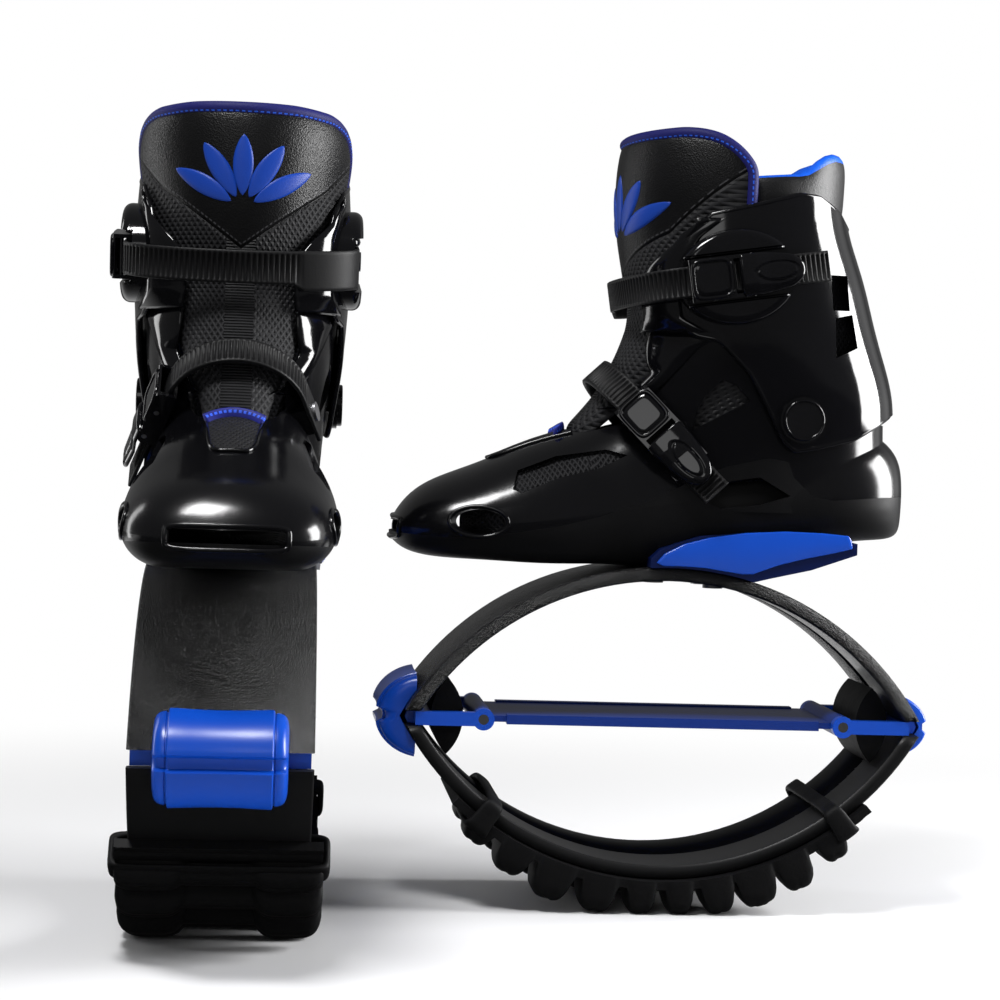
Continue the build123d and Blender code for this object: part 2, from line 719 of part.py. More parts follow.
# The cuff: the flared tube cut to its side outline, with its pads, channels and heel windows
lean = radians(upper_strap_lean)
upper_back = Vector(-cos(lean), 0, sin(lean))
strap_plane = Plane(
    origin=(0, 0, upper_strap_height), x_dir=upper_back, z_dir=(-sin(lean), 0, -cos(lean))
)
buckle_seat = upper_strap_half - strap_wall / 2 - strap_gap - buckle_floor
anchor_seat = upper_strap_half - strap_wall / 2 - strap_gap
with BuildPart() as pad:
    with BuildSketch(Plane.XZ):
        with Locations(Location((-pad_centre, upper_strap_height + pad_centre * sin(lean), 0),
                                (0, 0, -upper_strap_lean))):
            Ellipse(pad_length / 2, pad_height / 2)
    extrude(amount=pad_reach, both=True)
    fillet(pad.edges(), pad_edge)
with BuildPart() as cuff:
    add(shaft_outside)
    add(pad.part)
    with BuildSketch(Plane.XZ):
        with Locations((-ankle_reach, ankle_height)):
            Circle(rivet_head_radius + rivet_pad_rim)
    extrude(amount=rivet_pad_reach, both=True)
    add(shaft_form(cuff_wall), mode=Mode.SUBTRACT)
    add(side_solid(around_ankle(cuff_outline_shares), 4 * shaft_half_width), mode=Mode.INTERSECT)
    with BuildSketch(strap_plane):
        with Locations((pad_centre, buckle_seat + pad_length)):
            Rectangle(2 * pad_length, 2 * pad_length)
        with Locations((pad_centre, -anchor_seat - pad_length)):
            Rectangle(2 * pad_length, 2 * pad_length)
    extrude(amount=pad_channel / 2, both=True, mode=Mode.SUBTRACT)
    for window in heel_window_shares:
        add(side_cutters(around_ankle(window)), mode=Mode.SUBTRACT)
    with BuildSketch(Plane.XZ):
        with Locations((-ankle_reach, ankle_height)):
            Circle(rivet_shaft_radius + pin_clearance)
    extrude(amount=2 * shaft_half_width, both=True, mode=Mode.SUBTRACT)
    with Locations((-anchor_place, -anchor_seat, upper_strap_height + anchor_place * sin(lean))):
        Cylinder(
            anchor_shank_radius + pin_clearance, 2 * anchor_depth, rotation=(90, 0, 0),
            mode=Mode.SUBTRACT,
        )

# The ankle rivets: outer head, shank and inner head on each side
with BuildPart() as ankle_rivets:
    for side in (1, -1):
        outer = rivet_pad_reach + rivet_gap
        ankle = Location((-ankle_reach, 0, ankle_height), (-90 * side, 0, 0))
        with Locations(ankle * Location((0, 0, outer))):
            Cylinder(
                rivet_head_radius, rivet_head_height, align=(Align.CENTER, Align.CENTER, Align.MIN)
            )
        with Locations(ankle * Location((0, 0, rivet_inner_reach))):
            Cylinder(
                rivet_shaft_radius, outer - rivet_inner_reach,
                align=(Align.CENTER, Align.CENTER, Align.MIN),
            )
            Cylinder(
                rivet_inner_radius, rivet_inner_height,
                align=(Align.CENTER, Align.CENTER, Align.MAX),
            )

# The upper strap: straight along both pads, half an oval round the front, a tail that tucks in
with BuildPart() as upper_strap:
    with BuildSketch(strap_plane):
        with BuildLine():
            for offset in (strap_wall / 2, -strap_wall / 2):
                half = upper_strap_half + offset
                front = upper_strap_front + offset
                tail = (upper_strap_tail, half - upper_tail_tuck)
                bend = (upper_strap_bend, half)
                EllipticalCenterArc((0, 0), front, half, 90, arc_size=180)
                Line((0, half), bend)
                ThreePointArc(
                    bend,
                    ((upper_strap_bend + upper_strap_tail) / 2, half - upper_tail_tuck / 4),
                    tail,
                )
                Line((0, -half), (upper_strap_anchor, -half))
            half = upper_strap_half
            tuck = half - upper_tail_tuck
            Line((upper_strap_tail, tuck + strap_wall / 2), (upper_strap_tail, tuck - strap_wall / 2))
            Line(
                (upper_strap_anchor, -half - strap_wall / 2),
                (upper_strap_anchor, -half + strap_wall / 2),
            )
        make_face()
    extrude(amount=strap_width / 2, both=True)
    with Locations((-anchor_place, -upper_strap_half, upper_strap_height + anchor_place * sin(lean))):
        Cylinder(
            anchor_shank_radius + pin_clearance, 2 * strap_wall, rotation=(90, 0, 0),
            mode=Mode.SUBTRACT,
        )

# The rivet that holds the upper strap to the cuff's inner side
anchor_grip = strap_wall + strap_gap + anchor_depth / 2
with BuildPart() as strap_anchor:
    with Locations((0, 0, 0)):
        Cylinder(anchor_head_radius, anchor_head_height, align=(Align.CENTER, Align.CENTER, Align.MIN))
        Cylinder(anchor_shank_radius, anchor_grip, align=(Align.CENTER, Align.CENTER, Align.MAX))

upper_anchor_face = Plane(
    origin=(
        -anchor_place, -upper_strap_half - strap_wall / 2,
        upper_strap_height + anchor_place * sin(lean),
    ),
    z_dir=(0, -1, 0),
)
with BuildPart() as cuff_rivet:
    add(strap_anchor.part.moved(upper_anchor_face.location))

# The lower strap: an arc over the instep with a straight, splayed leg down each side
dive = radians(lower_strap_dive)
splay = radians(lower_strap_splay)
lower_back = Vector(-cos(dive), 0, -sin(dive))
instep_plane = Plane(
    origin=(lower_strap_reach, 0, lower_strap_height), x_dir=lower_back,
    z_dir=(sin(dive), 0, -cos(dive)),
)


def leg_point(run, lift, side=1):
    """A point in the lower strap's plane: a run down one leg and a lift off its centre line."""
    across = lower_strap_radius * cos(splay) + run * sin(splay) + lift * cos(splay)
    down = lower_strap_radius * (1 - sin(splay)) + run * cos(splay) - lift * sin(splay)
    return (down, side * across)


def leg_plane(run, lift, side):
    """The plane lying on a leg of the lower strap, with its X down the leg and its Z outward."""
    down, across = leg_point(run, lift, side)
    origin = Vector(lower_strap_reach, 0, lower_strap_height) + lower_back * down
    outward = Vector(0, side, 0)
    return Plane(
        origin=origin + Vector(0, across, 0),
        x_dir=lower_back * cos(splay) + outward * sin(splay),
        z_dir=outward * cos(splay) - lower_back * sin(splay),
    )


with BuildPart() as lower_strap:
    with BuildSketch(instep_plane):
        with BuildLine():
            edge = strap_wall / 2
            for lift in (edge, -edge):
                top = (-lift, 0)
                ThreePointArc(leg_point(0, lift), top, leg_point(0, lift, -1))
                Line(leg_point(0, lift), leg_point(lower_strap_tail, lift))
                Line(leg_point(0, lift, -1), leg_point(lower_strap_anchor, lift, -1))
            Line(leg_point(lower_strap_tail, edge), leg_point(lower_strap_tail, -edge))
            Line(
                leg_point(lower_strap_anchor, edge, -1), leg_point(lower_strap_anchor, -edge, -1)
            )
        make_face()
    extrude(amount=strap_width / 2, both=True)
    with Locations(leg_plane(lower_anchor_place, 0, -1)):
        Cylinder(anchor_shank_radius + pin_clearance, 2 * strap_wall, mode=Mode.SUBTRACT)

with BuildPart() as shell_rivet:
    add(strap_anchor.part.moved(leg_plane(lower_anchor_place, strap_wall / 2, -1).location))

# Stems on the foot shell for the lower buckle and for the strap's riveted end
lower_seat = -strap_wall / 2 - strap_gap - buckle_floor
lower_anchor_seat = -strap_wall / 2 - strap_gap
with BuildPart() as foot_shell:
    add(foot_outside)
    add(ankle_outside)
    with Locations(
        leg_plane(lower_buckle_place + stem_place, lower_seat, 1),
        leg_plane(lower_anchor_place, lower_anchor_seat, -1),
    ):
        Box(
            stem_length, stem_width, stem_depth,
            align=(Align.CENTER, Align.CENTER, Align.MAX),
        )
    with Locations(leg_plane(lower_buckle_place - strap_gap, lower_seat, 1)):
        Box(
            buckle_floor_length + 2 * strap_gap, 2 * (buckle_half_width + strap_gap), overrun,
            align=(Align.MIN, Align.CENTER, Align.MIN), mode=Mode.SUBTRACT,
        )
    add(foot_inside, mode=Mode.SUBTRACT)
    add(ankle_inside, mode=Mode.SUBTRACT)
    add(above_parting, mode=Mode.INTERSECT)
    add(side_solid(around_ankle(ankle_edge_shares), 4 * foot_half_width), mode=Mode.INTERSECT)
    add(throat(0, seat_level + foot_height / 2, seat_level + 2 * foot_height), mode=Mode.SUBTRACT)
    add(side_cutters(on_foot(side_window_shares)), mode=Mode.SUBTRACT)
    add(side_cutters(around_ankle(ankle_window_shares)), mode=Mode.SUBTRACT)
    with Locations((toe_reach - slot_depth, 0, seat_level + slot_centre)):
        Box(
            2 * slot_depth, slot_width, slot_height,
            align=(Align.MIN, Align.CENTER, Align.CENTER), mode=Mode.SUBTRACT,
        )
    with BuildSketch(Plane.XZ):
        with Locations((toe_hole_reach, seat_level + toe_hole_rise)):
            Ellipse(toe_hole_length / 2, toe_hole_height / 2)
        with Locations((-ankle_reach, ankle_height)):
            Circle(rivet_shaft_radius + pin_clearance)
    extrude(amount=2 * foot_half_width, both=True, mode=Mode.SUBTRACT)
    with Locations(leg_plane(lower_anchor_place, lower_anchor_seat, -1)):
        Cylinder(anchor_shank_radius + pin_clearance, anchor_depth, mode=Mode.SUBTRACT)

# The liner: a padded boot inside both, open at the throat and at its collar
liner_rows = shaft_row_shares[1:6] + collar_row_shares
liner_inset = ankle_inset + shell_wall + liner_gap
with BuildPart() as liner:
    add(foot_form(shell_wall + footbed_gap, sole_floor + footbed_gap, 1))
    add(shaft_form(liner_inset, liner_rows))
    foot_inset = shell_wall + footbed_gap + liner_wall
    liner_floor = sole_floor + footbed_gap + liner_sole
    add(foot_form(foot_inset, liner_floor, 2), mode=Mode.SUBTRACT)
    add(shaft_form(liner_inset + liner_wall, liner_rows), mode=Mode.SUBTRACT)
    add(side_solid(around_ankle(liner_edge_shares), 4 * foot_half_width), mode=Mode.INTERSECT)
    add(throat(0, seat_level + foot_height / 2, seat_level + 2 * foot_height), mode=Mode.SUBTRACT)
    for side in (1, -1):
        ankle = Location((-ankle_reach, 0, ankle_height), (-90 * side, 0, 0))
        with Locations(ankle * Location((0, 0, rivet_inner_reach - 2 * rivet_inner_height))):
            Cylinder(
                rivet_inner_radius + strap_gap, overrun,
                align=(Align.CENTER, Align.CENTER, Align.MIN), mode=Mode.SUBTRACT,
            )

# The footbed that lies in it
bed_floor = liner_floor + footbed_gap
bed_inset = foot_inset + footbed_gap
with BuildPart() as footbed:
    add(foot_form(bed_inset, bed_floor, 3))
    add(foot_form(bed_inset - shell_wall / 2, bed_floor + footbed_wall, 3), mode=Mode.SUBTRACT)


def tongue_form(inset):
    """The tongue's rounded front as one body, drawn in by an inset."""
    with BuildPart() as form:
        for rise, front, rear, half in tongue_row_shares:
            place = shaft_front * rear - shaft_centre
            depth = shaft_front * (front - rear) - inset
            wide = shaft_half_width * half - inset
            with BuildSketch(Plane.XY.offset(ankle_height + cuff_rise * rise)):
                with BuildLine():
                    EllipticalCenterArc((place, 0), depth, wide, -90, arc_size=180)
                    Line((place, wide), (place, -wide))
                make_face()
        loft()
    return form.part


# The tongue: a bowed, padded plate with rounded top corners
with BuildPart() as tongue:
    add(tongue_form(0))
    add(tongue_form(tongue_wall), mode=Mode.SUBTRACT)
    with BuildSketch(Plane.YZ):
        with BuildLine():
            Polyline(
                [(shaft_half_width * y, ankle_height + cuff_rise * z) for y, z in tongue_corner_shares],
                close=True,
            )
        make_face()
    extrude(amount=2 * shaft_front, both=True, mode=Mode.INTERSECT)

# A ratchet buckle, drawn lying on its floor with the strap running along X
cheek_middle = buckle_half_width - buckle_cheek / 2
with BuildPart() as buckle_frame:
    with Locations((0, 0, 0)):
        Box(
            buckle_floor_length, 2 * buckle_half_width, buckle_floor,
            align=(Align.MIN, Align.CENTER, Align.MIN),
        )
        Box(
            buckle_cheek_length, 2 * buckle_half_width, buckle_cheek_height,
            align=(Align.MIN, Align.CENTER, Align.MIN),
        )
    corner_edges = buckle_frame.edges().filter_by(Axis.Y).group_by(Axis.Z)[-1]
    fillet(corner_edges, buckle_cheek_corner)
    inner_width = 2 * (buckle_half_width - buckle_cheek)
    with Locations((0, 0, buckle_floor)):
        Box(
            buckle_plate_length, inner_width,
            buckle_cheek_height - buckle_floor - buckle_plate_wall,
            align=(Align.MIN, Align.CENTER, Align.MIN), mode=Mode.SUBTRACT,
        )
    with Locations((buckle_plate_length, 0, buckle_floor)):
        Box(
            buckle_cheek_length, inner_width, buckle_cheek_height,
            align=(Align.MIN, Align.CENTER, Align.MIN), mode=Mode.SUBTRACT,
        )
    with BuildSketch(Plane.XZ):
        with Locations((lever_pin_place, lever_pin_rise), (pawl_pin_place, pawl_pin_rise)):
            Circle(buckle_pin_radius + pin_clearance)
    extrude(amount=2 * buckle_half_width, both=True, mode=Mode.SUBTRACT)

with BuildPart() as buckle_pins:
    with BuildSketch(Plane.XZ):
        with Locations((lever_pin_place, lever_pin_rise), (pawl_pin_place, pawl_pin_rise)):
            Circle(buckle_pin_radius)
    extrude(amount=buckle_half_width, both=True)

with BuildPart() as buckle_lever:
    with Locations((lever_pin_place - lever_front, 0, lever_underside)):
        Box(
            (lever_length + lever_tail_start) / 2 - lever_pin_place + lever_front,
            2 * lever_half_width, lever_wall,
            align=(Align.MIN, Align.CENTER, Align.MIN),
        )
    with BuildSketch(Plane.XY.offset(lever_underside)):
        with Locations(((lever_tail_start + lever_length) / 2, 0)):
            RectangleRounded(
                lever_length - lever_tail_start, 2 * lever_tail_half_width, lever_tail_corner
            )
    extrude(amount=lever_wall)
    with BuildSketch(Plane.XZ):
        with Locations((lever_pin_place, lever_pin_rise)):
            Circle(lever_hub_radius)
    extrude(amount=lever_half_width, both=True)
    with BuildSketch(Plane.XZ):
        with Locations((lever_pin_place, lever_pin_rise)):
            Circle(buckle_pin_radius + pin_clearance)
    extrude(amount=2 * buckle_half_width, both=True, mode=Mode.SUBTRACT)

upper_buckle_plane = Plane(
    origin=Vector(0, buckle_seat, upper_strap_height) + upper_back * buckle_place,
    x_dir=upper_back, z_dir=(0, 1, 0),
)
lower_buckle_plane = leg_plane(lower_buckle_place, lower_seat, 1)

# Every piece of one boot, by name
pieces = {
    "lower_arch": lower_arch.part,
    "tread": tread.part,
    "upper_arch": upper_arch.part,
    "front_cap": front_cap.part,
    "rear_cap": rear_cap.part,
    "front_yoke": front_yoke.part,
    "rear_yoke": rear_yoke.part,
    "front_bumper": front_bumper.part,
    "rear_bumper": rear_bumper.part,
    "tension_band": tension_band.part,
    "band_pins": band_pins.part,
    "saddle": saddle.part,
    "saddle_bolts": saddle_bolts.part,
    "sole_shell": sole_shell.part,
    "foot_shell": foot_shell.part.solids().sort_by(SortBy.VOLUME)[-1],
    "ankle_rivets": ankle_rivets.part,
    "liner": liner.part,
    "footbed": footbed.part,
    "tongue": tongue.part,
    "lower_strap": lower_strap.part,
    "lower_strap_rivet": shell_rivet.part,
    "lower_buckle_frame": buckle_frame.part.moved(lower_buckle_plane.location),
    "lower_buckle_pins": buckle_pins.part.moved(lower_buckle_plane.location),
    "lower_buckle_lever": buckle_lever.part.moved(lower_buckle_plane.location),
    "cuff": cuff.part,
    "upper_strap": upper_strap.part,
    "upper_strap_rivet": cuff_rivet.part,
    "upper_buckle_frame": buckle_frame.part.moved(upper_buckle_plane.location),
    "upper_buckle_pins": buckle_pins.part.moved(upper_buckle_plane.location),
    "upper_buckle_lever": buckle_lever.part.moved(upper_buckle_plane.location),
}

# Both boots are set down, then the pair is centred on the origin
left_place = Location((pair_spacing_x, pair_spacing_y, 0), (0, 0, 180))
right_place = Location((0, 0, 0), (0, 0, -90))
placed = {}
for name, piece in pieces.items():
    placed["left_" + name] = piece.moved(left_place)
    placed["right_" + name] = mirror(piece, about=Plane.XZ).moved(right_place)
pair = Compound(children=[Compound(piece.wrapped) for piece in placed.values()])
box = pair.bounding_box()
centre = Location(
    (-(box.min.X + box.max.X) / 2, -(box.min.Y + box.max.Y) / 2, -box.min.Z)
)

os.makedirs("parts", exist_ok=True)
for name, piece in placed.items():
    piece = piece.moved(centre)
    piece.label = name
    export_step(piece, f"parts/{name}.step")
    if name.startswith("left"):
        print(name, [round(solid.volume, 1) for solid in piece.solids()])
print("pair", box.size, "shift", centre.position)
print("ankle", ankle_height, "left", centre * left_place, "right", centre * right_place)
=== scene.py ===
# %% [markdown]
# # A pair of spring boots
# Two hard-shell boots stand on bowed springs. The CAD frame already holds every rigid piece in its
# true place, so this notebook dresses it: it gives each surface a finish, and works out the soft
# and ribbed pieces as surfaces of two parameters with numpy.

import bmesh
import bpy
import numpy as np
from mathutils import Matrix, Vector
from mathutils.bvhtree import BVHTree


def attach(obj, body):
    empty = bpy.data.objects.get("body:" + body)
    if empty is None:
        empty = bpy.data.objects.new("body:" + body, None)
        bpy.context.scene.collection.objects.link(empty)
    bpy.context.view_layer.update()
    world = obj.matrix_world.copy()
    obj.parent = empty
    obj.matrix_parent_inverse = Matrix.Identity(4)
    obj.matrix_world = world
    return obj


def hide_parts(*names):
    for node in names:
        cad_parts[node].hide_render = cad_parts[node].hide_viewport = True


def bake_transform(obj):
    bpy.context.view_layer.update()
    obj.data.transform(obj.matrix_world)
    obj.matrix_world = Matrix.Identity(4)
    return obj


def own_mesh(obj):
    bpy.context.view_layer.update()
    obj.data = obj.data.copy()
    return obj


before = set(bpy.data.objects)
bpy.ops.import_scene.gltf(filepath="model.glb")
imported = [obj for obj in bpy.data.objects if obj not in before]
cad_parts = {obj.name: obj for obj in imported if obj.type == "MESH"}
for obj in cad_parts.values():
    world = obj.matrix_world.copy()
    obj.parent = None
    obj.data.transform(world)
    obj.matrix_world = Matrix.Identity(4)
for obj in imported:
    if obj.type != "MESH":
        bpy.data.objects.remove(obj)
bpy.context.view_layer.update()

# %% [markdown]
# Each boot is described in its own millimetres: u runs towards the toe, v towards the outer side
# of the foot and z up from the ground. The left boot is turned half round, and the right one is
# its mirror image turned to face the camera, so one function seats a point on either boot.

# %% Where the boots stand
SIDES = ("left", "right")
LEFT, RIGHT = (78.5959, 92.8), (-176.104, 0.0)  # where u = v = 0 lies in the frame


def seat(points, side):
    """Metres in the frame: (a - u, b - v, z) for the left boot, (a - v, b - u, z) for the right."""
    u, v, z = points[..., 0], points[..., 1], points[..., 2]
    if side == "left":
        placed = np.stack([LEFT[0] - u, LEFT[1] - v, z], -1)
    else:
        placed = np.stack([RIGHT[0] - v, RIGHT[1] - u, z], -1)
    return placed / 1000


for side in SIDES:
    print(side, "boot's origin lies at", seat(np.zeros(3), side))

# %% [markdown]
# The camera is a long lens at about shin height, turned a few degrees to the right and rolled by
# two degrees. Its axes are built from those three angles, so nothing has to be aimed by eye.

# %% The camera
CAMERA_AT = (-0.150004, -1.3272, 0.2715)
LENS, SENSOR = 85.2, 36
yaw, dip, roll = np.radians([5.2737, 1.2782, 1.8753])
ahead = np.array([np.sin(yaw) * np.cos(dip), np.cos(yaw) * np.cos(dip), -np.sin(dip)])
right = np.array([np.cos(yaw), -np.sin(yaw), 0.0])
up = np.cross(right, ahead)
right, up = (
    right * np.cos(roll) + up * np.sin(roll),
    up * np.cos(roll) - right * np.sin(roll),
)
scene = bpy.context.scene
camera = bpy.data.objects.new("camera", bpy.data.cameras.new("camera"))
camera.data.lens = LENS
camera.data.sensor_width = SENSOR
turn = Matrix(np.column_stack([right, up, -ahead]).tolist()).to_4x4()
camera.matrix_world = Matrix.Translation(Vector(CAMERA_AT)) @ turn
scene.collection.objects.link(camera)
scene.camera = camera
print("camera at", CAMERA_AT, "looks along", ahead.round(3))

# %% [markdown]
# The boots are black mirrors, so they show whatever stands round them. As in the picture, white
# paper hangs behind them and the room in front is dark. The world is that room: the camera sees it
# white, and every matt surface gets an even, dim light from it. Mirror rays see white where they
# run to the paper, less of it on the left, none of it towards the ceiling or the room in front, and
# a dark flag right behind the boots, which draws their black outlines. Real cards would do the
# same, but a few sums on the ray's direction can't get into the picture.

# %% The room
WHITE = (1, 1, 1, 1)
scene.view_settings.view_transform = "Standard"
scene.world = bpy.data.worlds.new("studio")
scene.world.use_nodes = True
wire = scene.world.node_tree
wire.nodes.clear()


def add_node(tree, kind, inputs=(), **settings):
    """A new node; each of its inputs gets a number, a colour or another node's output."""
    made = tree.nodes.new("ShaderNode" + kind)
    for key, value in settings.items():
        setattr(made, key, value)
    for key, value in dict(inputs).items():
        if isinstance(value, bpy.types.NodeSocket):
            tree.links.new(value, made.inputs[key])
        else:
            made.inputs[key].default_value = value
    return made


def room_math(operation, *numbers):
    """One sum in the world's node tree, kept between nothing and one."""
    inputs = enumerate(numbers)
    return add_node(wire, "Math", inputs, operation=operation, use_clamp=True).outputs[0]


rays = add_node(wire, "LightPath").outputs
direction = add_node(wire, "TexCoord").outputs["Generated"]
way = add_node(wire, "SeparateXYZ", {0: direction}).outputs
towards = room_math("MULTIPLY_ADD", way["Y"], 3.0, 0.03)
flag = room_math("MULTIPLY_ADD", way["Y"], -5.0, 3.4)
softer_left = room_math("MULTIPLY_ADD", way["X"], 1.6, 0.5)
below_ceiling = room_math("MULTIPLY_ADD", way["Z"], -1.7, 1.15)
paper = room_math("MULTIPLY", towards, room_math("MULTIPLY_ADD", flag, 0.95, 0.05))
paper = room_math("MULTIPLY", paper, room_math("MULTIPLY", softer_left, below_ceiling))
mirrored = room_math("MAXIMUM", rays["Is Glossy Ray"], rays["Is Transmission Ray"])
shown = room_math("MAXIMUM", rays["Is Camera Ray"], room_math("MULTIPLY", mirrored, paper))
dim, bright = (
    add_node(wire, "Background", {"Color": WHITE, "Strength": strength}).outputs[0]
    for strength in (0.13, 1.0)
)
pick = add_node(wire, "MixShader", {0: shown, 1: dim, 2: bright})
add_node(wire, "OutputWorld", {0: pick.outputs[0]})
print("the room takes", len(wire.nodes), "nodes")

# %% [markdown]
# Soft boxes draw the highlights. A tall one stands on the right and is mirrored in the round of
# each heel, a narrow one stands behind on the left and draws thin edges. One above lights the
# toes, and a weak one beside the camera lifts the blues. Area lamps are the simplest soft boxes.


# %% Soft boxes
def lamp(name, place, aim, size, power):
    """A rectangular soft box at a place, its face turned to the aim."""
    data = bpy.data.lights.new(name, "AREA")
    data.shape = "RECTANGLE"
    data.size, data.size_y = size
    data.energy = power
    box = bpy.data.objects.new(name, data)
    box.location = place
    box.rotation_euler = (Vector(aim) - Vector(place)).to_track_quat("-Z", "Y").to_euler()
    scene.collection.objects.link(box)
    print(name, "gives", power, "W")


lamp("side_right", (1.35, 0.02, 0.62), (0.0, 0, 0.3), (0.6, 0.9), 44)
lamp("rim_left", (-1.2, 0.7, 0.5), (0.0, 0, 0.25), (0.25, 1.2), 4)
lamp("overhead", (-0.42, -0.5, 1.5), (-0.05, 0, 0.2), (0.42, 0.3), 20)
lamp("front_fill", (-0.6, -1.9, 1.1), (0, 0, 0.2), (0.7, 0.7), 3.4)

# %% [markdown]
# Every finish is one Principled shader with a little procedural detail, because a pattern that is
# worked out stays sharp at any distance. A small builder keeps the recipes short: it makes the
# nodes, and `grain` stacks a noise or cell pattern as a bump.


# %% The finish builder
class Finish:
    """A material with one Principled shader, and helpers that hang nodes on it."""

    def __init__(self, name, colour, rough, specular, *grains, metallic=0.0):
        self.material = bpy.data.materials.new(name)
        self.material.use_nodes = True
        self.tree = self.material.node_tree
        self.shader = self.tree.nodes["Principled BSDF"]
        self.shader.inputs["Base Color"].default_value = (*colour, 1)
        self.shader.inputs["Roughness"].default_value = rough
        self.shader.inputs["Specular IOR Level"].default_value = specular
        self.shader.inputs["Metallic"].default_value = metallic
        self.coords = self.node("TexCoord").outputs["Object"]
        self.bump = None
        for grain in grains:
            self.grain(*grain)

    def node(self, kind, inputs=(), **settings):
        """A node in this finish's own tree."""
        return add_node(self.tree, kind, inputs, **settings)

    def feed(self, output, socket):
        """Leads a node's output into the shader."""
        self.tree.links.new(output, self.shader.inputs[socket])

    def math(self, operation, *numbers):
        """One sum of up to three numbers."""
        return self.node("Math", enumerate(numbers), operation=operation).outputs[0]

    def value(self, name):
        """A number stored on the piece's own points."""
        return self.node("Attribute", attribute_name=name).outputs["Fac"]

    def wave(self, value, pitch):
        """The sine of a value, with one full turn every pitch."""
        return self.math("SINE", self.math("MULTIPLY", value, 2 * np.pi / pitch))

    def near(self, value, place, half):
        """One where a value lies closer to a place than half a width."""
        off = self.math("ABSOLUTE", self.math("SUBTRACT", value, place))
        return self.math("LESS_THAN", off, half)

    def stitches(self, along, pitch, least, off, place, half):
        """A row of stitches: a wave along the row above its least value, times near the row."""
        dash = self.math("GREATER_THAN", self.wave(along, pitch), least)
        return self.math("MULTIPLY", dash, self.near(off, place, half))

    def raise_by(self, height, strength, distance):
        """Adds a bump to those already there."""
        bump = self.node("Bump", {"Height": height, "Strength": strength, "Distance": distance})
        if self.bump is not None:
            self.tree.links.new(self.bump, bump.inputs["Normal"])
        self.bump = bump.outputs[0]
        self.feed(self.bump, "Normal")

    def grain(self, kind, scale, strength, distance, detail=4.0):
        """A noise or cell grain as a bump; scale is in grains per metre."""
        inputs = {"Vector": self.coords, "Scale": scale}
        if kind == "noise":
            height = self.node("TexNoise", {**inputs, "Detail": detail}).outputs["Fac"]
        else:
            height = self.node("TexVoronoi", inputs).outputs["Distance"]
        self.raise_by(height, strength, distance)

    def ramp(self, value, low, high, out_low=0.0, out_high=1.0):
        """Stretches a value's range to another and clamps it."""
        inputs = {"Value": value, 1: low, 2: high, 3: out_low, 4: out_high}
        return self.node("MapRange", inputs).outputs[0]

    def blend(self, share, one, two):
        """A number between two others."""
        return self.node("Mix", {0: share, 2: one, 3: two}).outputs[0]

    def mix(self, share, one, two):
        """A colour between two others."""
        one, two = (c if isinstance(c, bpy.types.NodeSocket) else (*c, 1) for c in (one, two))
        return self.node("Mix", {0: share, 6: one, 7: two}, data_type="RGBA").outputs[2]


print("a finish can", ", ".join(name for name in vars(Finish) if name[0] != "_"))

# %% [markdown]
# The shells are injection-moulded black plastic polished to a mirror. A slow, very shallow wave
# in the surface keeps the reflections from looking computed. The sole and the leaves are the same
# plastic left satin or pebbled by the mould, the blue parts are dyed through, and pins are steel.
# Each grain is a noise at the size that such a surface has, so no picture has to be wrapped on.


# %% Hard finishes
def polished(name, low, high):
    """Polished black plastic whose roughness wanders between two limits."""
    made = Finish(name, (0.0022, 0.0022, 0.0028), low, 0.4, ("noise", 35, 0.06, 0.0012, 1.0))
    clouds = made.node("TexNoise", {"Vector": made.coords, "Scale": 14.0}).outputs["Fac"]
    made.feed(made.ramp(clouds, 0.3, 0.7, low, high), "Roughness")
    return made


SLOW_WAVE = ("noise", 45, 0.08, 0.0012, 1.0)
gloss_black = polished("gloss_black", 0.06, 0.12)
shell_black = polished("shell_black", 0.13, 0.2)
satin_black = Finish(
    "satin_black", (0.003, 0.003, 0.0035), 0.42, 0.18, ("noise", 1400, 0.25, 0.0003)
)
pebble_black = Finish(
    "pebble_black", (0.0022, 0.0022, 0.0026), 0.27, 0.5,
    ("noise", 1500, 1.0, 0.0011, 1.0), ("cells", 2300, 0.6, 0.0004),
)
leaf_black = Finish(
    "leaf_black", (0.005, 0.005, 0.0055), 0.42, 0.28, ("noise", 900, 0.12, 0.0003)
)
rubber_black = Finish(
    "rubber_black", (0.0035, 0.0035, 0.004), 0.6, 0.17,
    ("noise", 500, 0.3, 0.0006), ("noise", 60, 0.15, 0.003),
)
blue_plastic = Finish(
    "blue_plastic", (0.0025, 0.056, 0.42), 0.28, 0.42, SLOW_WAVE, ("noise", 900, 0.06, 0.0002)
)
blue_band = Finish("blue_band", (0.002, 0.024, 0.19), 0.36, 0.35, ("noise", 300, 0.15, 0.0003))
# The saddle's core: the same blue darkened all over, a painted shade between its cheeks
blue_painted_shade = Finish("blue_painted_shade", (0.0008, 0.006, 0.05), 0.32, 0.3, SLOW_WAVE)
steel = Finish(
    "brushed_steel", (0.42, 0.42, 0.44), 0.3, 0.5, ("noise", 700, 0.2, 0.0002), metallic=1.0
)
print(len(bpy.data.materials), "materials after the hard finishes")

# %% [markdown]
# The strap is nylon with moulded teeth. It is matt, because its mould was sandblasted, so a fine
# noise and a high roughness are enough.

# %% Strap finish
strap_black = Finish(
    "strap_black", (0.004, 0.004, 0.0045), 0.5, 0.22, ("noise", 1100, 0.25, 0.0003)
)
print("strap finish:", strap_black.material.name)

# %% [markdown]
# Dressing a CAD node only means filling its material slots. Its mesh stays exactly as it is, so
# the picture shows the true solids. One table says which node gets which finish.

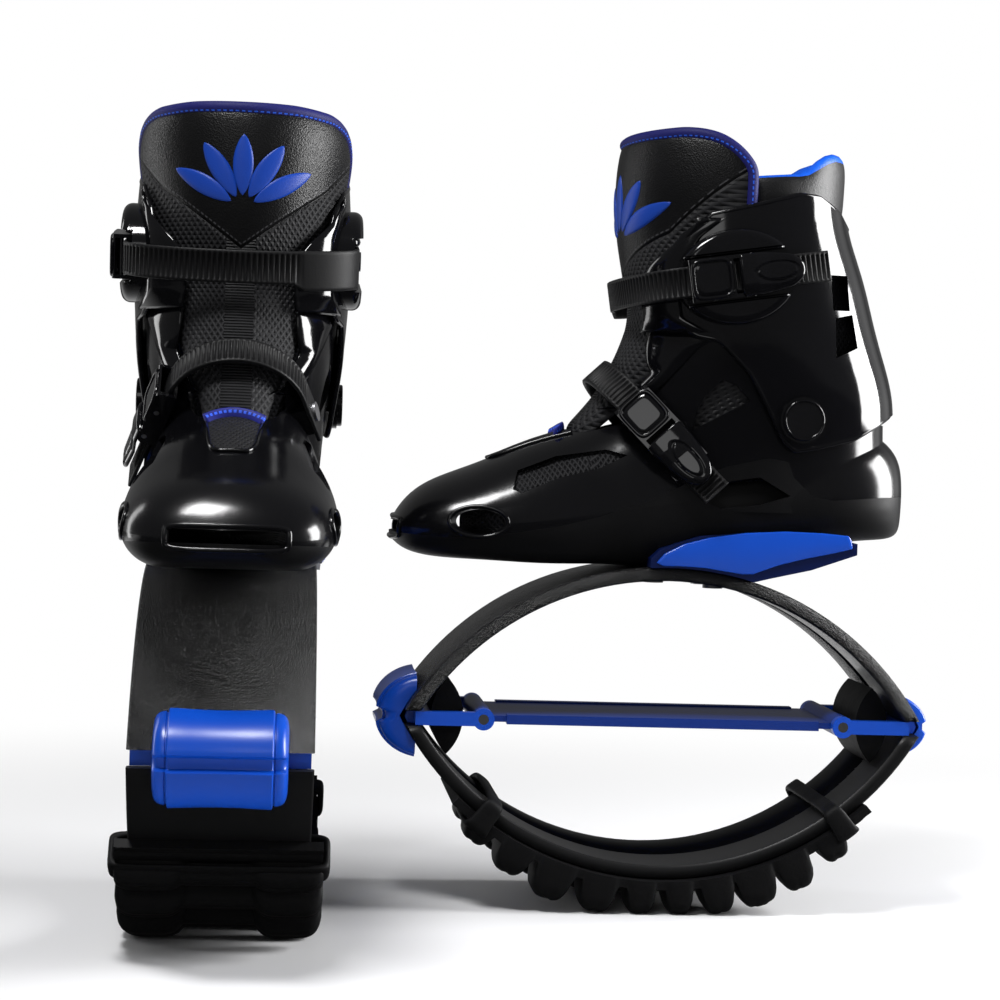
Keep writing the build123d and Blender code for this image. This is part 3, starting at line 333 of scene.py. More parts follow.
# %% Dress the CAD nodes
dress = {
    gloss_black: "cuff ankle_rivets lower_buckle_frame upper_buckle_frame lower_buckle_lever",
    shell_black: "foot_shell upper_buckle_lever",
    satin_black: "sole_shell",
    rubber_black: "front_bumper rear_bumper",
    blue_plastic: "front_yoke rear_yoke front_cap rear_cap",
    # the saddle's core takes the blue with painted shade
    blue_painted_shade: "saddle",
    blue_band: "tension_band",
    steel: "band_pins saddle_bolts lower_strap_rivet upper_strap_rivet lower_buckle_pins "
    "upper_buckle_pins",
}
for finish, names in dress.items():
    for name in names.split():
        for side in SIDES:
            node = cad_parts[f"{side}_{name}"]
            node.data.materials.clear()
            node.data.materials.append(finish.material)
print("dressed", 2 * sum(len(names.split()) for names in dress.values()), "nodes")

# %% [markdown]
# A new piece is a mesh made from whole arrays: its points are seated at once and handed over in
# one call. Points that meet are joined, so that the skin is closed, and its faces are turned
# outwards. Modifiers could do the same, but a plain mesh is just what it is seen to be.

# %% From points to pieces
JOINED = 2e-6


def merge(mesh, apart, turn_outwards=False):
    """Joins points closer than a distance in metres and, if asked, turns all faces outwards."""
    work = bmesh.new()
    work.from_mesh(mesh)
    bmesh.ops.remove_doubles(work, verts=work.verts, dist=apart)
    if turn_outwards:
        bmesh.ops.recalc_face_normals(work, faces=work.faces)
        if work.calc_volume(signed=True) < 0:
            bmesh.ops.reverse_faces(work, faces=work.faces)
    work.to_mesh(mesh)
    work.free()


def show(name, mesh, finish, sharp=None):
    """Puts a mesh in the scene: smooth, creased past an angle in degrees, with its finish."""
    mesh.polygons.foreach_set("use_smooth", [True] * len(mesh.polygons))
    if sharp:
        mesh.set_sharp_from_angle(angle=np.radians(sharp))
    mesh.materials.clear()
    mesh.materials.append(finish.material)
    made = bpy.data.objects.new(name, mesh)
    scene.collection.objects.link(made)
    return made


def piece(name, side, points, faces, finish, body=None, values=None, sharp=None):
    """A closed mesh from points and faces, with numbers on its points, riding on a body."""
    mesh = bpy.data.meshes.new(f"{side}_{name}")
    placed = seat(np.asarray(points, float).reshape(-1, 3), side)
    mesh.from_pydata(placed.tolist(), [], faces if isinstance(faces, list) else faces.tolist())
    for key, numbers in (values or {}).items():
        stored = mesh.attributes.new(key, "FLOAT", "POINT").data
        stored.foreach_set("value", np.asarray(numbers, np.float32).ravel())
    merge(mesh, JOINED, turn_outwards=True)
    made = show(f"{side}_{name}", mesh, finish, sharp)
    if body:
        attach(made, f"{side}_{body}")
    return made


print("points closer than", JOINED, "m become one")

# %% [markdown]
# A numpy surface is a grid of points, and its faces join each point to its right and upper
# neighbours. A tube is such a grid closed round and capped, a slab is two grids with a wall round
# them. A pillow is two grids pushed apart along the surface's own normal by a thickness that fades
# to nothing at every edge, which closes the piece with a soft, sewn rim.


# %% Grids, tubes, slabs and pillows
def quads(rows, columns, wrap=False, ring=False, start=0):
    """Face corners of a grid; wrap joins its last column to the first, ring its last row."""
    index = start + np.arange(rows * columns).reshape(rows, columns)
    if wrap:
        index = np.concatenate([index, index[:, :1]], 1)
    if ring:
        index = np.concatenate([index, index[:1]], 0)
    corners = [index[:-1, :-1], index[:-1, 1:], index[1:, 1:], index[1:, :-1]]
    return np.stack(corners, -1).reshape(-1, 4)


def tube_faces(rows, columns, start=0):
    """A grid closed round, with one flat face over each end."""
    ends = start + np.arange(columns)
    sides = quads(rows, columns, wrap=True, start=start).tolist()
    return sides + [ends[::-1].tolist(), (ends + (rows - 1) * columns).tolist()]


def slab_faces(rows, columns, start=0):
    """Two grids, one after the other, joined by a wall along their four edges."""
    count = rows * columns
    index = start + np.arange(count).reshape(rows, columns)
    rim = np.concatenate([index[:, 0], index[-1, 1:], index[::-1, -1][1:], index[0, ::-1][1:-1]])
    after = np.roll(rim, -1)
    wall = np.stack([rim, after, after + count, rim + count], -1)
    top = quads(rows, columns, start=start)
    return np.concatenate([top, quads(rows, columns, start=start + count)[:, ::-1], wall])


def pillow(middle, wall, power=6.0):
    """Two sheets either side of a middle surface: half the wall times the rim's fade each way."""
    rows, columns = middle.shape[:2]
    a = np.abs(np.linspace(-1, 1, rows))[:, None] ** (2 * power)
    b = np.abs(np.linspace(-1, 1, columns))[None, :] ** (2 * power)
    fade = np.sqrt(np.clip(1 - a, 0, 1)) * np.sqrt(np.clip(1 - b, 0, 1))
    normal = np.cross(np.gradient(middle, axis=0), np.gradient(middle, axis=1))
    normal /= np.linalg.norm(normal, axis=-1, keepdims=True) + 1e-9
    lift = normal * (np.asarray(wall) * fade / 2)[..., None]
    points = np.concatenate([(middle + lift).reshape(-1, 3), (middle - lift).reshape(-1, 3)])
    lower = quads(rows, columns, start=rows * columns)[:, ::-1]
    return points, np.concatenate([quads(rows, columns), lower])


def twice(numbers):
    """The same numbers for both sheets of a pillow."""
    return np.tile(np.ravel(numbers), 2)


def squarish(x, power):
    """The sign of x times its size to a power; below one it turns circles into squares."""
    return np.sign(x) * np.abs(x) ** power


def unit(vectors):
    """Vectors divided by their own lengths."""
    return vectors / np.linalg.norm(vectors, axis=-1, keepdims=True)


print("3 by 4 points: open", len(quads(3, 4)), "tube", len(tube_faces(3, 4)), "faces")

# %% [markdown]
# The two leaves of each spring and the rubber under them have to bend when the boot bounces. They
# are copies of the CAD solids, merged so that they shade as one skin.


# %% Springs and treads
def soft_copy(name, side, new_name, finish, body):
    """A merged copy of a CAD node, shown in its place and riding on a body."""
    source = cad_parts[f"{side}_{name}"]
    mesh = source.data.copy()
    mesh.transform(source.matrix_world)
    merge(mesh, 1e-6)
    made = show(f"{side}_{new_name}", mesh, finish, 32)
    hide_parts(f"{side}_{name}")
    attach(made, body)
    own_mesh(made)
    print(made.name, "has", len(mesh.vertices), "points")


for side in SIDES:
    soft_copy("upper_arch", side, "upper_leaf", pebble_black, f"{side}_boot")
    soft_copy("lower_arch", side, "lower_leaf", leaf_black, "lower_shells")

# %% [markdown]
# The tread is one rubber moulding: a sheet under the lower leaf with a fat lug on either side of
# each cross bar. Its outer face is a height over two parameters, the way along the leaf and the
# way across it, where a lug is a bump with steep sides and a domed top. What would reach below the
# ground is cut flat, as wear does. Two rubber loops hold the sheet to the leaf. A height over two
# parameters was chosen because all the lugs then grow out of one closed skin.

# %% Tread and loops
# Height of the bow's centre; radii of the leaf, the sheet, the lugs' middle and the loops
CENTRE, LEAF, SHEET, PACE, LOOP = 197.5, 177.6, 182.5, 187.0, 176.0
lug_reach = 124 * np.array([0.86, 0.69, 0.5, 0.29, 0.09, -0.09, -0.27, -0.45, -0.63, -0.81])
lug_depth = 21 * np.array([0.72, 0.95, 1.14, 1.1, 1.0, 1.0, 1.09, 1.15, 1.1, 0.85])
lug_half = np.array([9.0, 10.5, 11.8, 10.8, 8.6, 8.2, 9.8, 11.8, 10.5, 9.0])


def on_leaf(turn, across, radius):
    """A point under the lower leaf: (r sin turn, across, centre - r cos turn)."""
    return np.stack([
        radius * np.sin(turn), np.broadcast_to(across, np.shape(radius)),
        CENTRE - radius * np.cos(turn),
    ], -1)


def bump(offset, half, hardness):
    """A lug's profile: one in its middle, steep at its sides, nothing past them."""
    return np.clip(1 - (np.abs(offset) / half) ** hardness, 0, 1) ** 0.45


def loop_points(place):
    """A rubber band: a rounded rectangle round leaf and tread, with a rounded flat section."""
    t = np.linspace(0, 2 * np.pi, 120, endpoint=False)[:, None]
    q = np.linspace(0, 2 * np.pi, 20, endpoint=False)[None, :]
    inward = 1.9 * squarish(np.cos(q), 0.6)
    v = (55.0 + inward) * squarish(np.cos(t), 0.18)
    radius = 175.9 + (10.2 + inward) * squarish(np.sin(t), 0.3)
    slip = 6.4 * squarish(np.sin(q), 0.6) / LOOP * (1 + 0.25 * np.sin(t))
    return on_leaf(np.arcsin(place / LOOP) + slip, v, radius)


def bends_with_leaf(made):
    """Rides on the lower shells, with a mesh of its own."""
    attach(made, "lower_shells")
    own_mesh(made)


turn = np.linspace(-0.747, 0.747, 260)
across = np.concatenate([[-53.0], np.linspace(-53, 53, 97), [53.0]])
height = np.zeros((len(turn), len(across)))
for reach, depth, half in zip(lug_reach, lug_depth, lug_half):
    gone = (turn - np.arcsin(reach / SHEET))[:, None] * PACE
    side_lug = bump(gone, half, 3.4) * bump(np.abs(across)[None, :] - 35.5, 18.5, 4.0)
    bar = 0.7 * bump(gone, 7.5, 3.0) * (np.abs(across) < 22)[None, :]
    height = np.maximum(height, (depth - 5.0) * np.maximum(side_lug, bar))
height += 0.5 * bump(((turn * PACE) % 9.0)[:, None] - 4.5, 3.4, 4.0) * (np.abs(across) < 52)
radius = SHEET + height
radius[:, [0, -1]] = LEAF
bulge = 1 + 0.035 * np.clip(height / 16, 0, 1) * (np.abs(across) > 40)
sheet = on_leaf(turn[:, None], across[None, :] * bulge, radius)
sheet[..., 2] = np.maximum(sheet[..., 2], 0.0)
for side in SIDES:
    faces = tube_faces(*sheet.shape[:2])
    rubber = piece("tread_sheet", side, sheet, faces, rubber_black, sharp=50)
    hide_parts(f"{side}_tread")
    bends_with_leaf(rubber)
    for name, place in (("front_loop", 105), ("rear_loop", -105)):
        faces = quads(120, 20, wrap=True, ring=True)
        band = piece(name, side, loop_points(place), faces, rubber_black)
        bends_with_leaf(band)
print("deepest lug stands", round(height.max(), 1), "mm out, lowest point", sheet[..., 2].min())

# %% [markdown]
# The blue end cap is a moulded crescent whose middle stands proud of its two side lobes. Round the
# crescent one parameter follows an ellipse outside and the two leaves inside; across the boot the
# other one shrinks the ellipse in two steps, which leaves the moulded parting groove. The rear cap
# is the smaller one. One outline at many sizes keeps groove and lobes parallel to the leaves.

# %% End caps
# Height of the hinge, middle of the ellipse, the leaves' radius and how far their centres lie
# from the hinge
HINGE, OVAL, RADIUS, BOW = 112.0, 140.0, 177.8, 85.5


def cap_section(size, reach):
    """The crescent's outline at one size: half an ellipse, then back along both leaves."""
    end = np.arccos((reach - OVAL) / (30.0 * size))
    turn = np.linspace(end, -end, 40)
    dent = 1 - 0.15 * np.exp(-((np.degrees(turn) / 8.5) ** 6))
    outer = np.stack([OVAL + 30 * size * dent * np.cos(turn), 25.5 * size * np.sin(turn)], -1)
    x = np.linspace(reach, np.sqrt(RADIUS**2 - BOW**2), 12)
    inner = np.stack([x, -(np.sqrt(RADIUS**2 - x**2) - BOW)], -1)
    back = inner[::-1][1:] * np.array([1, -1])
    return np.concatenate([outer, inner, back])


across = np.array([
    -33.6, -33.45, -33.0, -32.2, -31.0, -29.5, -28, -27.2,
    -26.9, -26.5, -26.2, -25.6, -22, -15, -8, 0,
])
size = np.array([
    0.62, 0.70, 0.79, 0.86, 0.905, 0.93, 0.94, 0.94,
    0.915, 0.915, 0.975, 1, 0.998, 0.985, 0.975, 0.972,
])
across = np.concatenate([across, -across[-2::-1]])
size = np.concatenate([size, size[-2::-1]])
for side in SIDES:
    for end, sign, least, share, reach in (("front", 1, 0, 1, 146), ("rear", -1, 0.54, 0.18, 149)):
        rings = np.stack([cap_section(least + share * s, reach) for s in size])
        rows, columns = rings.shape[:2]
        wide = np.broadcast_to(across[:, None], (rows, columns))
        body = np.stack([sign * rings[..., 0], wide, HINGE + rings[..., 1]], -1)
        points = np.concatenate([body.reshape(-1, 3), body[[0, -1]].mean(1)])
        faces = quads(rows, columns, wrap=True).tolist()
        corner = np.arange(columns)
        for first, middle in ((0, rows * columns), ((rows - 1) * columns, rows * columns + 1)):
            fan = [corner + first, np.roll(corner, -1) + first, np.full(columns, middle)]
            faces += np.stack(fan, -1).tolist()
        made = piece(f"{end}_end_cap", side, points, faces, blue_plastic, "end_links", sharp=40)
        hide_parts(f"{side}_{end}_cap")
        print(made.name, "reaches", round(np.abs(body[..., 0]).max(), 1), "mm from the middle")

# %% [markdown]
# The straps are ladder straps: a flat nylon band with a tooth every three millimetres, in which the
# buckle's pawl catches. The path is worked out as a line in the strap's own plane, the section is
# carried along it, and the teeth are a rounded wave in the height of the outer face. So the teeth
# keep their pitch round the bend, which copies of one tooth would not.

# %% Ribbed straps
WIDE, WALL, PITCH = 18.0, 2.4, 3.0
U_AXIS, V_AXIS = np.array([1.0, 0, 0]), np.array([0, 1.0, 0])


def resample(path, step):
    """Evenly spaced points along a polyline, and the way gone at each."""
    gone = np.concatenate([[0], np.cumsum(np.linalg.norm(np.diff(path, axis=0), axis=1))])
    at = np.linspace(0, gone[-1], max(int(gone[-1] / step), 4))
    return np.stack([np.interp(at, gone, path[:, k]) for k in range(path.shape[1])], -1), at


def ribbed_band(path, origin, along, normal, plain, widen):
    """A toothed band carried along a plane path; its last plain millimetres are smooth, wider."""
    line, run = resample(path, PITCH / 8)
    tangent = unit(np.gradient(line, axis=0))
    outward = np.stack([tangent[:, 1], -tangent[:, 0]], -1)
    smooth = np.clip((run - run[-1] + plain) / 6, 0, 1)[:, None]
    tooth = np.clip(0.5 + 0.9 * np.cos(2 * np.pi * run / PITCH), 0, 1)[:, None] * (1 - smooth)
    half = WIDE / 2
    rim = np.array([half, half - 0.3, half - 1.6, half - 2.2])
    w = np.concatenate([-rim, [0], rim[::-1]])
    w = np.concatenate([w, w[::-1]])
    top = np.array([0.55, 0.9, 1, 1, 1, 1, 1, 0.9, 0.55])
    lift = np.concatenate([top, -top]) * WALL / 2
    ribbed = np.concatenate([[0, 0, 0, 1, 1, 1, 0, 0, 0], np.zeros(9)])
    height = lift[None, :] - 0.9 * ribbed[None, :] * (1 - tooth) * (1 - smooth)
    flat = line[:, None, :] + outward[:, None, :] * height[..., None]
    w = w[None, :] * (1 + widen * smooth) - half * widen * 0.8 * smooth
    points = origin + flat[..., :1] * along + flat[..., 1:] * V_AXIS + w[..., None] * normal
    print("strap of", round(run[-1]), "mm with", int((run[-1] - plain) / PITCH), "teeth")
    return points, tube_faces(*points.shape[:2])


print("a tooth every", PITCH, "mm on a band", WIDE, "mm wide")

# %% [markdown]
# The upper strap lies in a plane that leans back a little: it runs forward beside the cuff, round
# the tongue as half an oval and back to its rivet. The lower one dives over the instep as a bend
# with two straight legs. As each path is a line in its own plane, the bands never twist.


# %% Two straps on each boot
def leg_point(run, sign):
    """A point down one leg of the lower strap, in its plane."""
    return [
        ARC * (1 - np.sin(splay)) + run * np.cos(splay),
        sign * (ARC * np.cos(splay) + run * np.sin(splay)),
    ]


lean = np.radians(9.0)
upper_at = np.array([0, 0, 370.0])
upper_along = np.array([-np.cos(lean), 0, np.sin(lean)])
upper_normal = np.array([np.sin(lean), 0, np.cos(lean)])
HALF, FRONT = 64.2, 33.8  # half the strap's width round the cuff, and its reach in front
half_turn = np.linspace(np.pi / 2, -np.pi / 2, 90)
tail = np.linspace(0, 1, 12)[::-1, None]
upper_path = np.concatenate([
    np.hstack([58 + 28 * tail, HALF - 4.5 * tail**2]),
    np.array([[30.0, HALF]]),
    np.stack([-FRONT * np.cos(half_turn), HALF * np.sin(half_turn)], -1),
    np.array([[46.0, -HALF]]),
])
dive, splay = np.radians([46.7, 18.0])
ARC = 38.0  # radius of the bend over the instep
lower_at = np.array([42.5, 0, 319.0])
lower_along = np.array([-np.cos(dive), 0, -np.sin(dive)])
lower_normal = np.array([-np.sin(dive), 0, np.cos(dive)])
sweep = np.linspace(np.pi / 2 - splay, splay - np.pi / 2, 60)
lower_path = np.concatenate([
    [leg_point(74.0, 1)],
    np.stack([ARC * (1 - np.cos(sweep)), ARC * np.sin(sweep)], -1),
    [leg_point(32.0, -1)],
])
for side in SIDES:
    band = ribbed_band(upper_path, upper_at, upper_along, upper_normal, 96, 0.22)
    made = piece("upper_ladder", side, *band, strap_black, "cuff_body")
    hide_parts(f"{side}_upper_strap")
    band = ribbed_band(lower_path, lower_at, lower_along, lower_normal, 30, 0.0)
    made = piece("lower_ladder", side, *band, strap_black, "boot")
    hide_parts(f"{side}_lower_strap")

# %% [markdown]
# Each buckle has a moulded plate and a lever that pulls the strap tight. They are drawn in the
# buckle's own flat frame, along the strap, across it and outwards, and then carried to the boot, so
# one drawing serves all four. The plate is a rounded square with a raised frame, and the lever is a
# long drop with an oval ring pressed into its back.


# %% Buckle plates and levers
def buckle_frames():
    """Origin and three directions of each buckle, from the straps' own planes."""
    upper = upper_at + 60.5 * V_AXIS + 2 * upper_along
    leg = np.cos(splay) * lower_along + np.sin(splay) * V_AXIS
    out = np.cos(splay) * V_AXIS - np.sin(splay) * lower_along
    start = leg_point(-2.0, 1)
    lower = lower_at + start[0] * lower_along + start[1] * V_AXIS - 3.7 * out
    return {
        "upper": (upper, upper_along, upper_normal, V_AXIS),
        "lower": (lower, leg, lower_normal, out),
    }


def carried(frame_of, s, w, n):
    """Buckle millimetres to boot millimetres: origin + s along + w across + n outwards."""
    origin, along, cross, out = frame_of
    return origin + s[..., None] * along + w[..., None] * cross + n[..., None] * out


def plate_points():
    """A rounded square in polar form: its height steps with the share of the way to the rim."""
    share = np.array([0, 0.3, 0.6, 0.74, 0.77, 0.80, 0.83, 0.86, 0.93, 0.97, 1.0, 1.0, 0.5, 0])
    lift = np.array([0.5, 0.5, 0.5, 0.45, 0.15, 0.1, 0.9, 1.15, 1.15, 0.9, 0.2, -0.5, -0.5, -0.5])
    t = np.linspace(0, 2 * np.pi, 96, endpoint=False)
    s = 13.0 + 12.4 * share[:, None] * squarish(np.cos(t), 0.42)
    w = 12.0 * share[:, None] * squarish(np.sin(t), 0.42)
    return s, w, 11.2 + np.broadcast_to(lift[:, None], s.shape)


def lever_points():
    """The lever: two sheets over length and width, meeting at a rim, with a ring and a hub."""
    s, b = np.meshgrid(np.linspace(29, 67.5, 90), np.linspace(-1, 1, 41), indexing="ij")
    half = 12.3 - 3.6 * np.clip((s - 40) / 24, 0, 1) ** 1.5
    half = half * np.sqrt(np.clip(1 - (np.clip(s - 58.5, 0, None) / 9.1) ** 2, 0, 1)) + 0.02
    half *= np.sqrt(np.clip(1 - (np.clip(31 - s, 0, None) / 2.6) ** 2, 0, 1))
    w = half * b
    end = np.clip((67.6 - s) / 6, 0, 1) * np.clip((s - 28.9) / 1.5, 0, 1)
    rim = 11.4 - 1.5 * np.clip((s - 39) / 8, 0, 1)
    crown = 2.7 * (1 - np.abs(b) ** 3) ** 0.6 * end**0.5
    ring = np.sqrt(((s - 51) / 12.5) ** 2 + (w / 5.4) ** 2)
    top = rim + crown - 0.75 * np.exp(-(((ring - 1) / 0.11) ** 2)) * end
    hub = 3.4 * np.exp(-(((s - 33) / 2.2) ** 4)) * (np.abs(b) < 0.78)
    return s, w, np.stack([top, rim - 0.5 * end - hub])


moulded = buckle_frames()
for side in SIDES:
    for which, body in (("upper", "cuff_body"), ("lower", "boot")):
        s, w, n = plate_points()
        points, faces = carried(moulded[which], s, w, n), quads(*s.shape, wrap=True)
        plate = piece(f"{which}_buckle_face", side, points, faces, gloss_black, body, sharp=50)
        s, w, n = lever_points()
        points, faces = carried(moulded[which], s, w, n), slab_faces(*s.shape)
        lever_body = f"{which}_lever_body"
        lever = piece(lever_body, side, points, faces, gloss_black, lever_body, sharp=60)
        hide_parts(f"{side}_{which}_buckle_lever")
        print(lever.name, "is", np.ptp(s).round(1), "by", np.ptp(w).round(1), "mm")

# %% [markdown]
# Fabric first needs its finishes. The mesh is a diamond weave: two sets of diagonal threads, each
# a sine of the place across plus or minus the place along the cloth. The places are stored on the
# points in millimetres, so the weave follows the tongue's curve and keeps its real size.

# %% Mesh
GAPS, THREADS = (0.0008, 0.0008, 0.001), (0.010, 0.010, 0.0115)


def diamonds(finish):
    """Height of a mesh with 3 mm diamonds: the higher |sine| of x + 0.62 y and x - 0.62 y."""
    x, rise = finish.value("across"), finish.math("MULTIPLY", finish.value("along"), 0.62)
    waves = [
        finish.math("ABSOLUTE", finish.wave(finish.math(diagonal, x, rise), 6.0))
        for diagonal in ("ADD", "SUBTRACT")
    ]
    return finish.math("MAXIMUM", *waves)


mesh_black = Finish("mesh_black", (0.010, 0.010, 0.012), 0.62, 0.18)
# Where "woven" is nought the weave drops out and only the near-black gap colour is left: painted
# shade on the sock deep inside the shell
weave = mesh_black.math("MULTIPLY", diamonds(mesh_black), mesh_black.value("woven"))
mesh_black.raise_by(weave, 0.9, 0.0012)
mesh_black.feed(mesh_black.mix(weave, GAPS, THREADS), "Base Color")
print("mesh takes", len(mesh_black.tree.nodes), "nodes")

# %% [markdown]
# The tongue is mesh below a curved seam and artificial leather above it, with a ribbed band up its
# middle and a row of stitches beside the seam. All of them share one finish: the distance from the
# seam is stored on the points, and it decides between the two, so the seam stays a clean line.

# %% Tongue finish
leather = Finish("tongue_finish", (0.010, 0.010, 0.011), 0.42, 0.2)
seam, x, y = (leather.value(name) for name in ("seam", "across", "along"))
is_leather = leather.ramp(seam, -0.2, 0.2)
ribs = leather.math("ABSOLUTE", leather.wave(y, 3.2))
cloth = leather.blend(leather.near(x, 0.0, 7.5), diamonds(leather), ribs)
cells = leather.node("TexVoronoi", {"Vector": leather.coords, "Scale": 1100.0})
hide = leather.math("MULTIPLY", cells.outputs["Distance"], 0.16)
leather.raise_by(leather.blend(is_leather, cloth, hide), 0.9, 0.0012)
valley = leather.math("MULTIPLY", leather.math("ABSOLUTE", seam), 0.6)
leather.raise_by(leather.math("SMOOTH_MIN", valley, 1.0, 0.2), 0.8, 0.0012)
stitch = leather.stitches(x, 2.2, -0.3, seam, 2.6, 0.42)
cloth_colour = leather.mix(cloth, GAPS, (0.011, 0.011, 0.0125))
ground = leather.mix(is_leather, cloth_colour, (0.003, 0.003, 0.0034))
leather.feed(leather.mix(stitch, ground, (0.035, 0.035, 0.038)), "Base Color")
leather.feed(leather.ramp(is_leather, 0, 1, 0.62, 0.36), "Roughness")
print("tongue finish takes", len(leather.tree.nodes), "nodes")

# %% [markdown]
# Edges are bound with woven tape whose thread shows as short, light dashes. The padded collar is
# mesh below and leather above, and its lining is a bright blue fleece that shows inside and where
# it is turned over the rim. Stored numbers again say where each begins.

# %% Bindings and collar finish
NAVY = (0.005, 0.006, 0.085)
binding = Finish("binding", NAVY, 0.6, 0.2, ("noise", 900, 0.4, 0.0004))
across, along = binding.value("across"), binding.value("along")
lit = binding.stitches(along, 3.2, -0.2, across, 0.5, 0.1)
binding.feed(binding.mix(lit, NAVY, (0.012, 0.075, 0.5)), "Base Color")

hem_blue = Finish("hem_blue", (0.012, 0.03, 0.36), 0.55, 0.25)
beside = hem_blue.math("ABSOLUTE", hem_blue.value("across"))
thread = hem_blue.stitches(hem_blue.value("along"), 2.6, -0.3, beside, 0.55, 0.17)
hem_blue.feed(hem_blue.mix(thread, (0.006, 0.01, 0.16), (0.03, 0.1, 0.7)), "Base Color")
hem_blue.raise_by(thread, 0.6, 0.0008)
motif_blue = Finish(
    "motif_blue", (0.003, 0.035, 0.27), 0.42, 0.25, ("noise", 1200, 0.3, 0.0003)
)

padded = Finish(
    "collar_finish", (0.010, 0.010, 0.011), 0.42, 0.27, ("cells", 1100, 0.25, 0.0004)
)
turned_in = padded.ramp(padded.value("inner"), 0.45, 0.55)
inside = padded.math("MULTIPLY", turned_in, padded.ramp(padded.value("back"), 0.40, 0.44))
above = padded.ramp(padded.value("height"), 404, 406)
weave = diamonds(padded)
outside = padded.mix(above, padded.mix(weave, GAPS, THREADS), (0.0035, 0.0035, 0.004))
padded.feed(padded.mix(inside, outside, (0.003, 0.085, 0.6)), "Base Color")
padded.raise_by(padded.math("MULTIPLY", weave, padded.math("SUBTRACT", 1.0, above)), 0.6, 0.001)
print(len(bpy.data.materials), "materials in all")

# %% [markdown]
# The tongue is a padded plate bowed round the shin. At each height its plan is half an oval from
# one rear edge round the front to the other. Heights, fronts, rear edges and half widths come
# from a short table, and the top edge is lifted a little at the sides. A table was chosen because
# padding has no simple formula, and rounding its corners keeps it soft.

# %% The tongue's plan
tongue_z = np.array([277.0, 288.4, 300, 317, 335, 353, 381, 405, 432, 461.3])
tongue_front = np.array([67.5, 56.5, 45, 35.8, 27.6, 22.6, 28.5, 32.6, 33.5, 30.8])
tongue_rear = np.array([49.0, 38.0, 24, 9.4, -5.1, -19.7, -34.3, -38.8, -38.8, -38.8])
tongue_half = np.array([17.5, 18.5, 23.5, 30.8, 38.1, 46.1, 54.1, 57.0, 61.0, 59.5])
TONGUE_FOOT = 282.5
TOP_TURN = [0, 30, 55, 65, 73, 80, 86, 90]
TONGUE_TOP = {
    "left": [456.0, 457.6, 458.8, 457.8, 455.4, 450.8, 444.5, 437.5],
    "right": [451.0, 451.2, 449.8, 447.4, 444.2, 439.4, 433.0, 427.5],
}
ANKLE = np.array([-74.0, 0, 293.0])  # the axis on which the cuff tilts


def smooth_table(z, heights, values):
    """Reads a table with its corners rounded: the mean of the lines a little above and below."""
    return sum(np.interp(z + d, heights, values) for d in (-9, -4.5, 0, 4.5, 9)) / 5


def tongue_plan(z):
    """Front, rear edge and half width of the tongue at a height."""
    return [smooth_table(z, tongue_z, t) for t in (tongue_front, tongue_rear, tongue_half)]


def tongue_ends(angle, side):
    """Heights of the tongue's foot and of its top at an angle round the shin."""
    top = np.interp(np.degrees(np.abs(angle)), TOP_TURN, TONGUE_TOP[side])
    return TONGUE_FOOT - 7.0 * np.sin(angle) ** 2, top


def tongue_sheet(angle, share, inset, side):
    """A point of the tongue: half an oval at each height, drawn in by an inset."""
    foot, top = tongue_ends(angle, side)
    z = foot + share * (top - foot)
    front, rear, half = tongue_plan(z)
    u = rear + (front - rear - inset) * np.cos(angle)
    return np.stack([u, (half - inset) * np.sin(angle), z], -1)


def bends_with_cuff(made):
    """Bakes the piece's placing into its own mesh."""
    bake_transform(made)


print("the tongue's plan at 400 mm is", [round(float(x), 1) for x in tongue_plan(400.0)])

# %% [markdown]
# The plate is a pillow on that plan, stuffed a little more in its middle. Its edge is bound: an
# oval tube runs up one side, over the top and down the other. Tape folded over an edge is round,
# so an oval carried along the edge looks right and costs few faces.

# %% Tongue and binding
# The seam's height in the middle, its rise per millimetre across, its lift at the sides
SEAM = {"left": (376.0, 0.59, 28.0), "right": (375.4, 0.78, 11.0)}
INSET, AROUND = 3.0, 16


def oval_tube(path, run, deep, wide):
    """An oval carried along a path that goes round the shin, with two values for its stitches."""
    tangent = unit(np.gradient(path, axis=0))
    outward = np.stack([path[:, 0] + 5, path[:, 1], np.zeros(len(path))], -1)
    outward -= tangent * (outward * tangent).sum(1, keepdims=True)
    outward = unit(outward)
    other = np.cross(tangent, outward)
    ring = np.linspace(0, 2 * np.pi, AROUND, endpoint=False)[:, None]
    tube = path[:, None] + outward[:, None] * (deep * np.cos(ring))
    tube = tube + other[:, None] * (wide * np.sin(ring))
    values = {"along": np.repeat(run, AROUND), "across": np.tile(np.sin(ring[:, 0]), len(path))}
    return tube, tube_faces(len(path), AROUND), values


